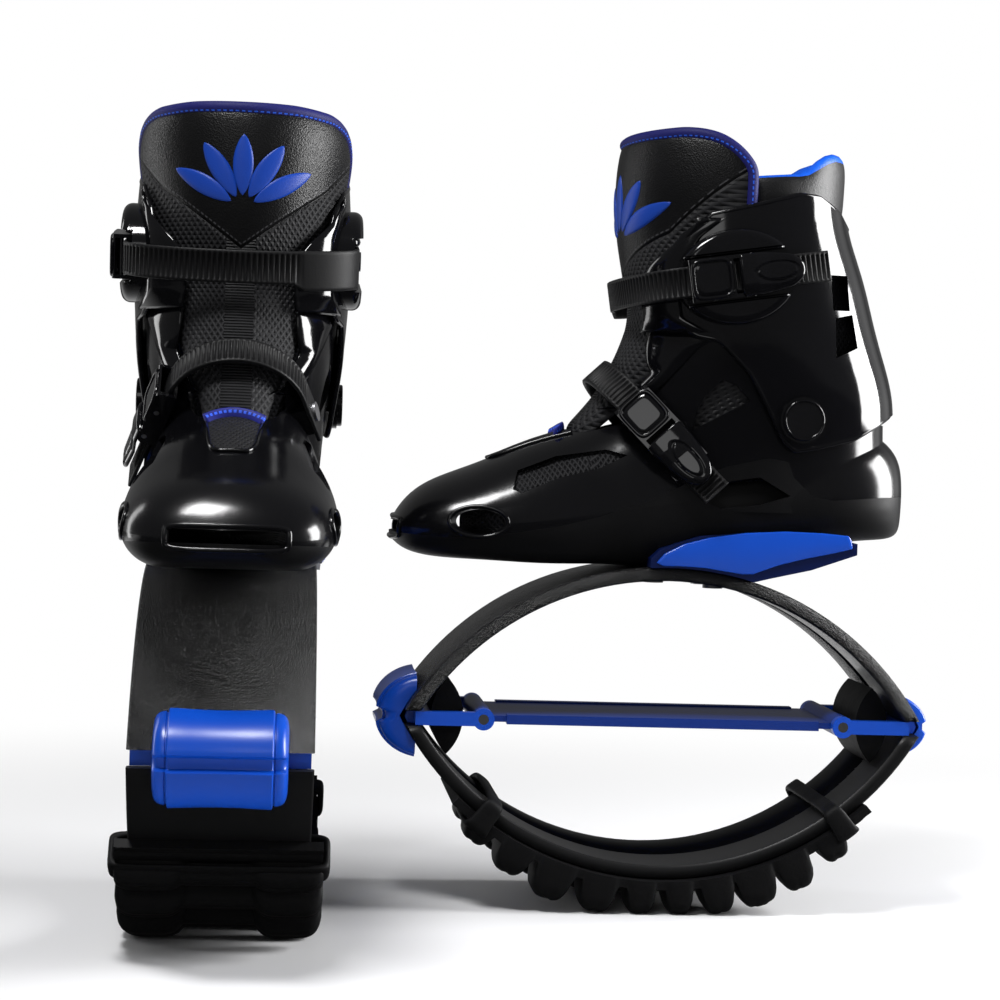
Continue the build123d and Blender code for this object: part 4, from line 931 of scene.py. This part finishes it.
angle, share = np.meshgrid(np.radians(np.linspace(-90, 90, 121)), np.linspace(0, 1, 110))
for side in SIDES:
    middle = tongue_sheet(angle, share, INSET, side)
    puff = 5.6 + 0.5 * np.sin(np.pi * np.clip((middle[..., 2] - 384) / 80, 0, 1))
    points, faces = pillow(middle, puff, 9)
    v, z = twice(middle[..., 1]), twice(middle[..., 2])
    round_side = twice(np.clip((np.degrees(np.abs(angle)) - 50) / 40, 0, 1))
    low, slope, lift = SEAM[side]
    values = {"seam": z - (low + slope * np.abs(v) + lift * round_side), "across": v, "along": z}
    tongue = piece("shin_tongue", side, points, faces, leather, values=values)
    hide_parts(f"{side}_tongue")
    bends_with_cuff(tongue)

    # The edge: up one side, over the top and down the other, its two corners rounded
    down = np.linspace(0.56, 1, 40)
    path = np.concatenate([
        tongue_sheet(np.full(40, -np.pi / 2), down, INSET, side),
        tongue_sheet(np.radians(np.linspace(-90, 90, 160)), np.ones(160), INSET, side)[1:-1],
        tongue_sheet(np.full(40, np.pi / 2), down[::-1], INSET, side),
    ])
    path, run = resample(path, 1.0)
    kernel = np.ones(9) / 9
    path = np.stack([
        np.convolve(np.pad(path[:, k], 4, mode="edge"), kernel, "valid") for k in range(3)
    ], -1)
    tube, faces, values = oval_tube(path, run, 3.3, 3.6)
    edge = piece("tongue_binding", side, tube, faces, binding, values=values)
    bends_with_cuff(edge)
    print(side, "binding runs", round(run[-1]), "mm")

# %% [markdown]
# A plain fan of five blades is moulded on the tongue's leather. Each blade is a slab over its
# length and width, laid on the tongue's own surface and domed across, so it follows the curve.

# %% A fan on the tongue
FAN_SHIFT = {"left": 8.0, "right": 0.0}
LONG, BROAD = 26, 9
t, w = np.meshgrid(np.linspace(0, 1, LONG), np.linspace(-1, 1, BROAD), indexing="ij")
reach = 7 + 33 * t
wide = w * (5.0 * np.sin(np.pi * np.clip(t, 0, 1)) ** 0.7 + 0.05)
crown = 0.25 + 0.75 * np.sqrt(np.clip(1 - w**2, 0, 1)) * np.sqrt(np.sin(np.pi * t))
for side in SIDES:
    blades, faces = [], []
    for index, turn in enumerate((-1.0, -0.5, 0.0, 0.5, 1.0)):
        x = FAN_SHIFT[side] + reach * np.sin(turn) + wide * np.cos(turn)
        z = 396.5 + reach * np.cos(turn) - wide * np.sin(turn)
        angle = np.arcsin(np.clip(x / 54.0, -1, 1))
        foot, top = tongue_ends(angle, side)
        base = tongue_sheet(angle, (z - foot) / (top - foot), 0.0, side)
        out = np.stack([np.cos(angle), np.sin(angle), np.zeros_like(x)], -1)
        blades.append(np.stack([base - out * 0.6, base + out * crown[..., None]]))
        faces += slab_faces(LONG, BROAD, start=2 * LONG * BROAD * index).tolist()
    motif = piece("tongue_fan", side, np.stack(blades), faces, motif_blue)
    bends_with_cuff(motif)
print("a blade is", round(np.ptp(reach), 1), "by", round(np.ptp(wide), 1), "mm")

# %% [markdown]
# The liner has two parts. Its collar is the same kind of pillow, wrapped round the back of the
# leg, with its thickness growing towards a padded roll at the top. It could be blown up as cloth,
# but a table of its outline gives the same roll at once, and in the same place every time.

# %% The collar
TUBE_U = -47.0  # where the axis of the shell's flared tube stands
COLLAR_FOOT, COLLAR_TALL, COLLAR_FRONT = 258, 192, 81.8
collar_z = np.array([255, 262, 290, 313, 335, 360, 390, 407, 424, 458])
collar_back = np.array([84.2, 84.4, 84.4, 82.5, 75.8, 68.1, 58.5, 57.0, 58.0, 58.5])
collar_half = np.array([42.5, 43.5, 46.7, 49.2, 51.1, 52.3, 51.1, 51.1, 51.1, 49.8])
edge_z = np.array([262, 293, 300, 317, 335, 353, 381, 400, 440])
edge_u = np.array([27, 22, 20, 7, -8, -22, -37, -40.7, -40.7])
rim_u = np.array([-112, -106, -99, -92, -86, -80, -74, -68, -60, -40, 30])
rim_z = np.array([446, 450, 452.5, 452.5, 450.5, 446.5, 441, 438, 437, 435, 435])
lining_shown = np.array([2, 3.5, 4, 4.5, 5, 5, 3.5, 1.8, 1.3, 1.3, 1.3])


def collar_sheet(share_round, share_up, inset):
    """A point of the collar: an oval round the back of the leg between its two front edges."""
    z = COLLAR_FOOT + share_up * COLLAR_TALL
    for _ in range(3):
        back, half = np.interp(z, collar_z, collar_back), np.interp(z, collar_z, collar_half)
        edge = smooth_table(z, edge_z, edge_u) - TUBE_U
        last = np.where(edge > 0, np.arccos(np.clip(-edge / COLLAR_FRONT, -1, 1)), np.pi / 2)
        turn = share_round * last
        reach = np.where(np.abs(turn) < np.pi / 2, back, COLLAR_FRONT) - inset
        u = TUBE_U - reach * np.cos(turn)
        z = COLLAR_FOOT + share_up * (np.interp(u, rim_u, rim_z) - COLLAR_FOOT)
    return np.stack([u, (half - inset) * np.sin(turn), z], -1)


share_round, share_up = np.meshgrid(np.linspace(-1, 1, 141), np.linspace(0, 1, 90))
middle = collar_sheet(share_round, share_up, 3.0)
u, z = middle[..., 0], middle[..., 2]
roll_up = np.clip((share_up - 0.8) / 0.14, 0, 1) * np.clip((1.02 - share_up) / 0.05, 0, 1)
points, faces = pillow(middle, 5.4 + 1.6 * roll_up, 9)
far = np.linalg.norm(points[:, :2] - [TUBE_U, 0], axis=1).reshape(2, -1).mean(1)
inner = np.repeat((far < far.mean()).astype(float), u.size)
turned_over = 1.5 - (np.interp(u, rim_u, rim_z) - z) / np.interp(u, rim_u, lining_shown)
values = {
    "inner": np.maximum(inner, twice(turned_over)),
    "back": twice(np.clip((-28 - u) / 20, 0, 1) * np.clip((z - 330) / 60, 0, 1)),
    "height": twice(z), "across": twice(share_round * 95), "along": twice(z),
}
for side in SIDES:
    collar = piece("liner_collar", side, points, faces, padded, values=values)
    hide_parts(f"{side}_liner")
    bends_with_cuff(collar)
print("the collar rises from", z.min().round(1), "to", z.max().round(1), "mm")

# %% [markdown]
# The sock follows the foot: at each place along it the skin is half an oval above the waist line
# and a flatter one below. Its slit at the top is the throat. A real one is sewn from flat cuts, but
# only its windows show, so one closed sheet from the foot's own tables is enough. A thin pad, the
# insole, lies inside it.

# %% The sock inside the foot shell
foot_u = np.array([
    163.5, 157.8, 145.5, 124.3, 94.8, 59.7, 24.5, -10.3, -49.8, -90.8, -124.5, -140.6, -146.5,
])
foot_half = 56 * np.array([
    0.23, 0.6, 0.84, 0.965, 1, 0.95, 0.87, 0.83, 0.82, 0.78, 0.62, 0.38, 0.15,
])
foot_under = 24 * np.array([
    0.58, 0.3, 0.13, 0.06, 0.02, 0, 0, 0.08, 0.33, 0.6, 0.78, 0.88, 1.25,
])
foot_waist = 96 * np.array([
    0.18, 0.185, 0.195, 0.215, 0.245, 0.29, 0.35, 0.41, 0.46, 0.46, 0.47, 0.475, 0.47,
])
foot_top = 96 * np.array([
    0.235, 0.325, 0.45, 0.555, 0.685, 0.82, 0.985, 1.0, 0.98, 0.94, 0.88, 0.77, 0.64,
])
throat_u = np.array([50, 48, 43, 34, 20, 8, -3, -19, -29, -130])
throat_half = 56 * np.array([0.0, 0.2, 0.32, 0.39, 0.47, 0.575, 0.69, 0.76, 0.8, 0.8])
SOLE = 204  # height of the boot's sole above the ground


def along_foot(place, table):
    """Reads one of the foot's tables, which run from toe to heel."""
    return np.interp(place, foot_u[::-1], table[::-1])


def foot_sheet(place, around, inset, floor):
    """A point of the foot's skin: half an oval above its waist, a flatter one below."""
    close = np.sqrt(np.clip(1 - (np.clip(place - 96, 0, None) / 24) ** 2, 0, 1)) + 0.01
    half = (along_foot(place, foot_half) - inset) * close
    waist = SOLE + along_foot(place, foot_waist)
    rise = (SOLE + along_foot(place, foot_top) - inset - waist) * close
    fall = (waist - SOLE - along_foot(place, foot_under) - floor) * close
    gap = np.maximum(np.interp(place, throat_u[::-1], throat_half[::-1] + 1) * (place < 50), 0.4)
    first = np.arcsin(np.clip(gap / half, 0, 0.98))
    turn = first + around * (2 * np.pi - 2 * first)
    upper = np.cos(turn) > 0
    y = np.where(upper, np.sin(turn), squarish(np.sin(turn), 0.7))
    z = np.where(upper, rise * np.cos(turn), -fall * np.abs(np.cos(turn)) ** 0.7)
    return np.stack([np.broadcast_to(place, turn.shape), half * y, waist + z], -1)


around, place = np.meshgrid(np.linspace(0, 1, 120), 120 - 242 * np.linspace(0, 1, 110) ** 1.3)
middle = foot_sheet(place, around, 6.0, 9.0)
# Low down and behind the vamp the sock gets no weave, only the mesh's near-black gap colour: a
# painted shade inside the shell
weave_out_of_shade = (middle[..., 2] > 256) | (middle[..., 0] > 45)
values = {"across": twice(middle[..., 0]), "along": twice(around * 240), "woven": twice(weave_out_of_shade)}
bed_u, bed_v = np.meshgrid(np.linspace(118, -108, 60), np.linspace(-1, 1, 25), indexing="ij")
bed_half = along_foot(bed_u, foot_half) * 0.74
bed_z = 221.5 + along_foot(bed_u, foot_under)
bed = np.stack([bed_u, bed_half * bed_v, bed_z + 1.5 * bed_v**2], -1)
for side in SIDES:
    sock = piece("liner_sock", side, *pillow(middle, 4.6, 12), mesh_black, "boot", values)
    insole = piece("insole", side, *pillow(bed, 3.6, 9), mesh_black, "boot")
    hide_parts(f"{side}_footbed")
print("the sock is", np.ptp(middle[..., 0]).round(), "mm long, the insole", np.ptp(bed_u), "mm")

# %% [markdown]
# Cuff and ankle shell are cut from one flared tube, whose plan at each height is two half ovals.
# At the front of each the mould leaves a thin flap that wraps round the tongue. A flap's plan runs
# along the tube, then bends in to the tongue as a curve with one control point, pushed outwards
# from the chord's middle. Such a curve leaves the tube without a crease, as the moulding does.

# %% Flaps
shaft_z = 293 + 131 * np.array([-0.42, -0.237, -0.023, 0.153, 0.32, 0.511, 0.74, 0.908, 1.06])
shaft_half = 61.5 * np.array([0.84, 0.87, 0.91, 0.95, 0.98, 1.0, 1.0, 0.98, 0.96])
shaft_back = 96 * np.array([0.975, 0.99, 0.975, 0.955, 0.885, 0.805, 0.705, 0.633, 0.575])
cuff_edge = np.array([[340, 350.6, 365, 382, 397.8, 411], [-10, 8.9, 11.1, 9.6, 0, -16]])
cuff_reach = np.array([
    [343, 362, 372, 380, 386, 392, 398, 404], [30, 29, 31, 37, 43, 48.5, 52, 56],
])
ankle_edge = np.array([[293, 307, 333.6, 340.2, 344], [38.5, 20, -2.2, -14.8, -29.6]])
ankle_reach = np.array([[296, 307, 320, 335, 344], [24, 29, 33, 31, 30.5]])


def on_shaft(u, z, inset):
    """A point of the flared tube's skin, drawn in by an inset, from its place along and height."""
    half = np.interp(z, shaft_z, shaft_half) - inset
    reach = np.where(u > TUBE_U, 91.0, np.interp(z, shaft_z, shaft_back)) - inset
    v = half * np.sqrt(np.clip(1 - ((u - TUBE_U) / reach) ** 2, 0, 1))
    return np.stack([u, v, z], -1)


def flap_sheet(low, high, edge, reach_in, inset, off_tongue):
    """A flap's middle surface between two heights; edge and reach_in are tables over height."""
    z = np.linspace(low, high, 44)
    start = np.interp(z, *edge)
    on_tube = [on_shaft(start - back, z, inset) for back in (10, 8, 6, 4, 2)]
    first = on_tube[-1]
    front, rear, half = tongue_plan(z)
    half = half + off_tongue
    v = np.minimum(np.interp(z, *reach_in), np.minimum(first[:, 1], half) - 0.5)
    u = rear + (front - rear + off_tongue) * np.sqrt(1 - (v / half) ** 2)
    last = np.stack([np.maximum(u, first[:, 0]), v, z], -1)
    chord = last - first
    out = np.stack([-chord[:, 1], chord[:, 0], np.zeros(len(z))], -1)
    control = (first + last) / 2 + 0.14 * out
    t = np.linspace(0, 1, 16)[:, None, None]
    bend = (1 - t) ** 2 * first + 2 * t * (1 - t) * control + t**2 * last
    return np.concatenate([np.stack(on_tube[:-1]), bend])


def both_sides(points):
    """The same points on the boot's outer side and, mirrored, on its inner side."""
    return ("outer", points), ("inner", points * np.array([1, -1, 1]))


for side in SIDES:
    for name, body, sheet in (
        ("cuff_flap", "cuff_body", flap_sheet(342, 409, cuff_edge, cuff_reach, -0.5, 4.6)),
        ("ankle_flap", "boot", flap_sheet(296, 344, ankle_edge, ankle_reach, 5.2, 1.8)),
    ):
        for place, grid in both_sides(sheet):
            flap = piece(f"{name}_{place}", side, *pillow(grid, 2.0, 5), gloss_black, body)
        print(side, name, "reaches u", sheet[..., 0].max().round(1), "mm")

# %% [markdown]
# Along the cuff's edge the mould leaves a rolled rim. It is a round rod carried along a closed
# path: over the top at the back, down the side along the edge's outline, round the foot at the back
# and up the other side. A rod catches the light as a thin line, which is what a rolled rim is for
# the eye.


# %% The cuff's rim
def rod(path, radius, out):
    """A round rod along a closed path; out is a direction that never runs along the path."""
    tangent = unit(np.roll(path, -1, axis=0) - np.roll(path, 1, axis=0))
    across = unit(np.cross(tangent, np.broadcast_to(out, path.shape)))
    lift = np.cross(across, tangent)
    ring = np.linspace(0, 2 * np.pi, 12, endpoint=False)[:, None]
    section = lift[:, None] * np.cos(ring) + across[:, None] * np.sin(ring)
    return path[:, None] + radius * section, quads(len(path), 12, wrap=True, ring=True)


rim_side = np.array([
    [-96.2, 416.8], [-80.7, 424], [-67.3, 424.4], [-44, 417.5], [-16.3, 410.9], [0, 397.8],
    [9.6, 382], [11.1, 365], [8.9, 350.6], [-10.4, 340.2], [-23, 338], [-41.4, 320], [-54, 298.4],
    [-63.6, 281.2], [-70.3, 275.1], [-84.4, 277.3], [-108, 283.2], [-134, 297.3],
])
turn = np.radians(np.linspace(0, 11, 8))
rim_top = np.stack([TUBE_U - 60.2 * np.cos(turn), 59 * np.sin(turn), np.full(8, 409.4)], -1)
turn = np.radians(np.linspace(14, 0, 8))
rim_foot = np.stack([TUBE_U - 91.9 * np.cos(turn), 55.6 * np.sin(turn), np.full(8, 299.4)], -1)
side_line, run = resample(rim_side, 1.5)
half_rim = np.concatenate([rim_top, on_shaft(side_line[:, 0], side_line[:, 1], 1.5), rim_foot])
rim_path = np.concatenate([half_rim, half_rim[-2:0:-1] * np.array([1, -1, 1])])
outwards = (rim_path - np.array([TUBE_U, 0, 0])) * np.array([1, 1, 0])
for side in SIDES:
    rim = piece("cuff_rim", side, *rod(rim_path, 1.75, outwards), gloss_black, "cuff_body")
print("the rim's side runs", run[-1].round(), "mm")

# %% [markdown]
# Details that lie on the foot shell are seated by measuring: straight lines run from outside until
# they meet the left boot's shell, and where they meet it the detail lies. The right boot gets the
# same points, mirrored. Measuring was chosen because the shell's skin has no short formula.


# %% Measuring the foot shell
def shell_tree():
    """A search tree of the left boot's hard shell, in boot millimetres."""
    corners, faces = [], []
    for name in ("foot_shell", "sole_shell"):
        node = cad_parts[f"left_{name}"]
        flat = np.empty(len(node.data.vertices) * 3)
        node.data.vertices.foreach_get("co", flat)
        turned = np.array(node.matrix_world)
        placed = (flat.reshape(-1, 3) @ turned[:3, :3].T + turned[:3, 3]) * 1000
        faces += [[len(corners) + k for k in face.vertices] for face in node.data.polygons]
        boot = np.stack([LEFT[0] - placed[:, 0], LEFT[1] - placed[:, 1], placed[:, 2]], -1)
        corners += boot.tolist()
    return BVHTree.FromPolygons(corners, faces)


def seated(u, v, z, way, off):
    """Where lines from the starts first meet the shell, moved off it by a distance."""
    starts = np.stack(np.broadcast_arrays(u, v, z), -1).astype(float)
    flat = starts.reshape(-1, 3)
    met = [shell.ray_cast(Vector(start), Vector(way))[0] for start in flat]
    points = [hit if hit is not None else start for hit, start in zip(met, flat)]
    return np.array(points).reshape(starts.shape) - off * way


shell = shell_tree()
DOWN = np.array([0, 0, -1.0])
print("the shell at u = 100 is", seated(100.0, 0.0, 400.0, DOWN, 0.0)[2].round(1), "mm high")

# %% [markdown]
# Moulded rims run round the toe slot and the two toe holes. Below the tongue a patch of mesh fills
# the vamp, with a rim round it, and the tongue's foot ends there in a sewn blue hem. Rims are rods
# and the patch is a thin pillow, all laid on measured points, so nothing floats or sinks in.

# %% Seated on the foot shell
turn = np.linspace(0, 2 * np.pi, 120, endpoint=False)
slot_v, slot_z = 30.5 * squarish(np.cos(turn), 0.35), 222.5 + 6 * squarish(np.sin(turn), 0.35)
slot_ring = seated(250.0, slot_v, slot_z, -U_AXIS, 0.2)
hole_ring = seated(114.5 + 17 * np.cos(turn), 120.0, 228 + 8.8 * np.sin(turn), -V_AXIS, 0.2)
run = np.linspace(0, 1, 40)[:, None]
vamp_half = (15.5 - 4.0 * run) * np.sqrt(np.clip(1 - (run * 0.97) ** 12, 0, 1))
vamp = seated(57 + 49 * run, vamp_half * np.linspace(-1, 1, 31), 400.0, DOWN, 0.7)
vamp_edge = np.concatenate([vamp[:, -1], vamp[-1, -2:0:-1], vamp[::-1, 0]])
vamp_edge, edge_run = resample(vamp_edge, 1.0)
arch = np.linspace(-14.5, 14.5, 60)
hem, hem_run = resample(seated(61.5 + 0.028 * arch**2, arch, 400.0, DOWN, 1.4), 0.8)
points, faces = pillow(vamp, 1.3, 5)
woven = {"across": twice(vamp[..., 1]), "along": twice(vamp[..., 0]), "woven": np.ones(len(points))}
for side in SIDES:
    lip = piece("slot_lip", side, *rod(slot_ring, 1.5, U_AXIS), shell_black, "boot")
    for place, ring in both_sides(hole_ring):
        lip = piece(f"hole_lip_{place}", side, *rod(ring, 1.3, V_AXIS), shell_black, "boot")
    patch = piece("vamp_mesh", side, points, faces, mesh_black, "boot", woven)
    tube = oval_tube(vamp_edge, 0 * edge_run, 1.1, 1.1)[:2]
    lip = piece("vamp_lip", side, *tube, shell_black, "boot")
    tube, tube_sides, values = oval_tube(hem, hem_run, 1.4, 4.6)
    bound_foot = piece("tongue_hem", side, tube, tube_sides, hem_blue, "boot", values)
print("slot seated at u", slot_ring[:, 0].min().round(1), "to", slot_ring[:, 0].max().round(1))

# %% [markdown]
# The saddle's blue cheeks stand a little proud of its core, whose blue is darkened all over as a
# painted shade. Each is a plate cut to a side outline, with its outer edge rounded by drawing the
# outline in as the plate ends, the way a moulded plate leaves its mould. A thin ring rounds each
# ankle rivet's edge.

# %% Saddle cheeks and rivet edges
cheek = np.array([
    [8.9, 206.9], [4.5, 212.2], [-7, 218.3], [-22, 222.5], [-43, 225.8], [-68, 227.4],
    [-89, 227], [-105, 225.8], [-107, 222.5], [-107.4, 218.2], [-95, 215.1], [-79, 211.6],
    [-64, 207.6], [-54, 203.9], [-48.5, 201.8], [-42.5, 201.5], [-33, 202.8], [-20, 204.6],
    [-7.5, 205.2], [5, 205.2],
])
cheek, run = resample(np.concatenate([cheek, cheek[:1]]), 1.2)
cheek = cheek[:-1]
along = np.roll(cheek, -3, axis=0) - np.roll(cheek, 3, axis=0)
inwards = unit(np.stack([-along[:, 1], along[:, 0]], -1))
rings = np.stack([
    np.insert(cheek + inwards * drawn_in, 1, v, axis=1)
    for v, drawn_in in ((48.8, 0.0), (50.5, 0.0), (51.1, 0.25), (51.4, 0.9))
])
turn = np.linspace(0, 2 * np.pi, 90, endpoint=False)
rivet = ANKLE + np.stack([11.3 * np.cos(turn), np.full(90, 59.1), 11.3 * np.sin(turn)], -1)
for side in SIDES:
    for place, points in both_sides(rings):
        name, faces = f"saddle_cheek_{place}", tube_faces(4, len(cheek))
        plate = piece(name, side, points, faces, blue_plastic, "boot", sharp=50)
    for place, ring in both_sides(rivet):
        edge = piece(f"rivet_edge_{place}", side, *rod(ring, 0.9, V_AXIS), gloss_black, "boot")
print("a cheek's outline runs", run[-1].round(), "mm")

# %% [markdown]
# Two bars close the channel in each buckle pad, one above and one below the strap, so the strap
# seems to run through the pad. Each is an oval carried straight along the strap's direction, whose
# height fades at both ends, like the moulded hood that it stands for.

# %% Pad bars
s, q = np.meshgrid(
    np.linspace(1, 61, 24), np.linspace(0, 2 * np.pi, 16, endpoint=False), indexing="ij"
)
hood = 61.5 + 4.6 * np.sqrt(np.clip(1 - ((s - 31) / 30.2) ** 8, 0, 1)) * np.cos(q)
bars, faces = [], []
for sign, more in ((1, 0.0), (-1, 1.7)):
    for above in (1, -1):
        w = above * (14.1 - more) + (1.2 + more) * np.sin(q)
        bars.append(carried((upper_at, upper_along, upper_normal, sign * V_AXIS), s, w, hood))
        faces += tube_faces(*s.shape, start=s.size * (len(bars) - 1))
for side in SIDES:
    bar = piece("pad_bars", side, np.stack(bars), faces, gloss_black, "cuff_body")
print(len(bars), "bars of", np.ptp(s), "mm on each cuff")

# %% [markdown]
# The floor is a sheet of white paper that carries the shadows. Half a metre from the boots it
# starts to shine by its own light, and a metre away it is as white as the room behind it, so no
# edge shows. The change follows the paper's own coordinates. Mirrors see the paper dark in front of
# the boots and far behind them, as if black cards lay there outside the picture.

# %% The floor
paper = bpy.data.meshes.new("paper")
paper.from_pydata([(-8, -4, 0), (8, -4, 0), (8, 12, 0), (-8, 12, 0)], [], [(0, 1, 2, 3)])
floor = bpy.data.objects.new("floor", paper)
scene.collection.objects.link(floor)
white_paper = Finish("white_paper", (0.8, 0.8, 0.81), 0.45, 0.3)


def glow(strength):
    """White light of a given strength."""
    return white_paper.node("Emission", {"Color": WHITE, "Strength": strength}).outputs[0]


away = white_paper.node("VectorMath", {0: white_paper.coords}, operation="LENGTH")
inputs = {"Value": away.outputs["Value"], "From Min": 0.3, "From Max": 1.0}
fade = white_paper.node("MapRange", inputs, interpolation_type="SMOOTHSTEP").outputs[0]
inputs = {0: fade, 1: white_paper.shader.outputs[0], 2: glow(1.0)}
lit_paper = white_paper.node("MixShader", inputs).outputs[0]
depth = white_paper.node("SeparateXYZ", {0: white_paper.coords}).outputs["Y"]
front, behind = white_paper.ramp(depth, 0.5, 0.0), white_paper.ramp(depth, 0.8, 1.6)
glossy = white_paper.node("LightPath").outputs["Is Glossy Ray"]
in_mirror = white_paper.math("MULTIPLY", glossy, white_paper.math("MAXIMUM", front, behind))
mirror_floor = white_paper.node("MixShader", {0: in_mirror, 1: lit_paper, 2: glow(0.03)})
surface = white_paper.tree.nodes["Material Output"].inputs["Surface"]
white_paper.tree.links.new(mirror_floor.outputs[0], surface)
paper.materials.append(white_paper.material)
print("the floor takes", len(white_paper.tree.nodes), "nodes")

# %% [markdown]
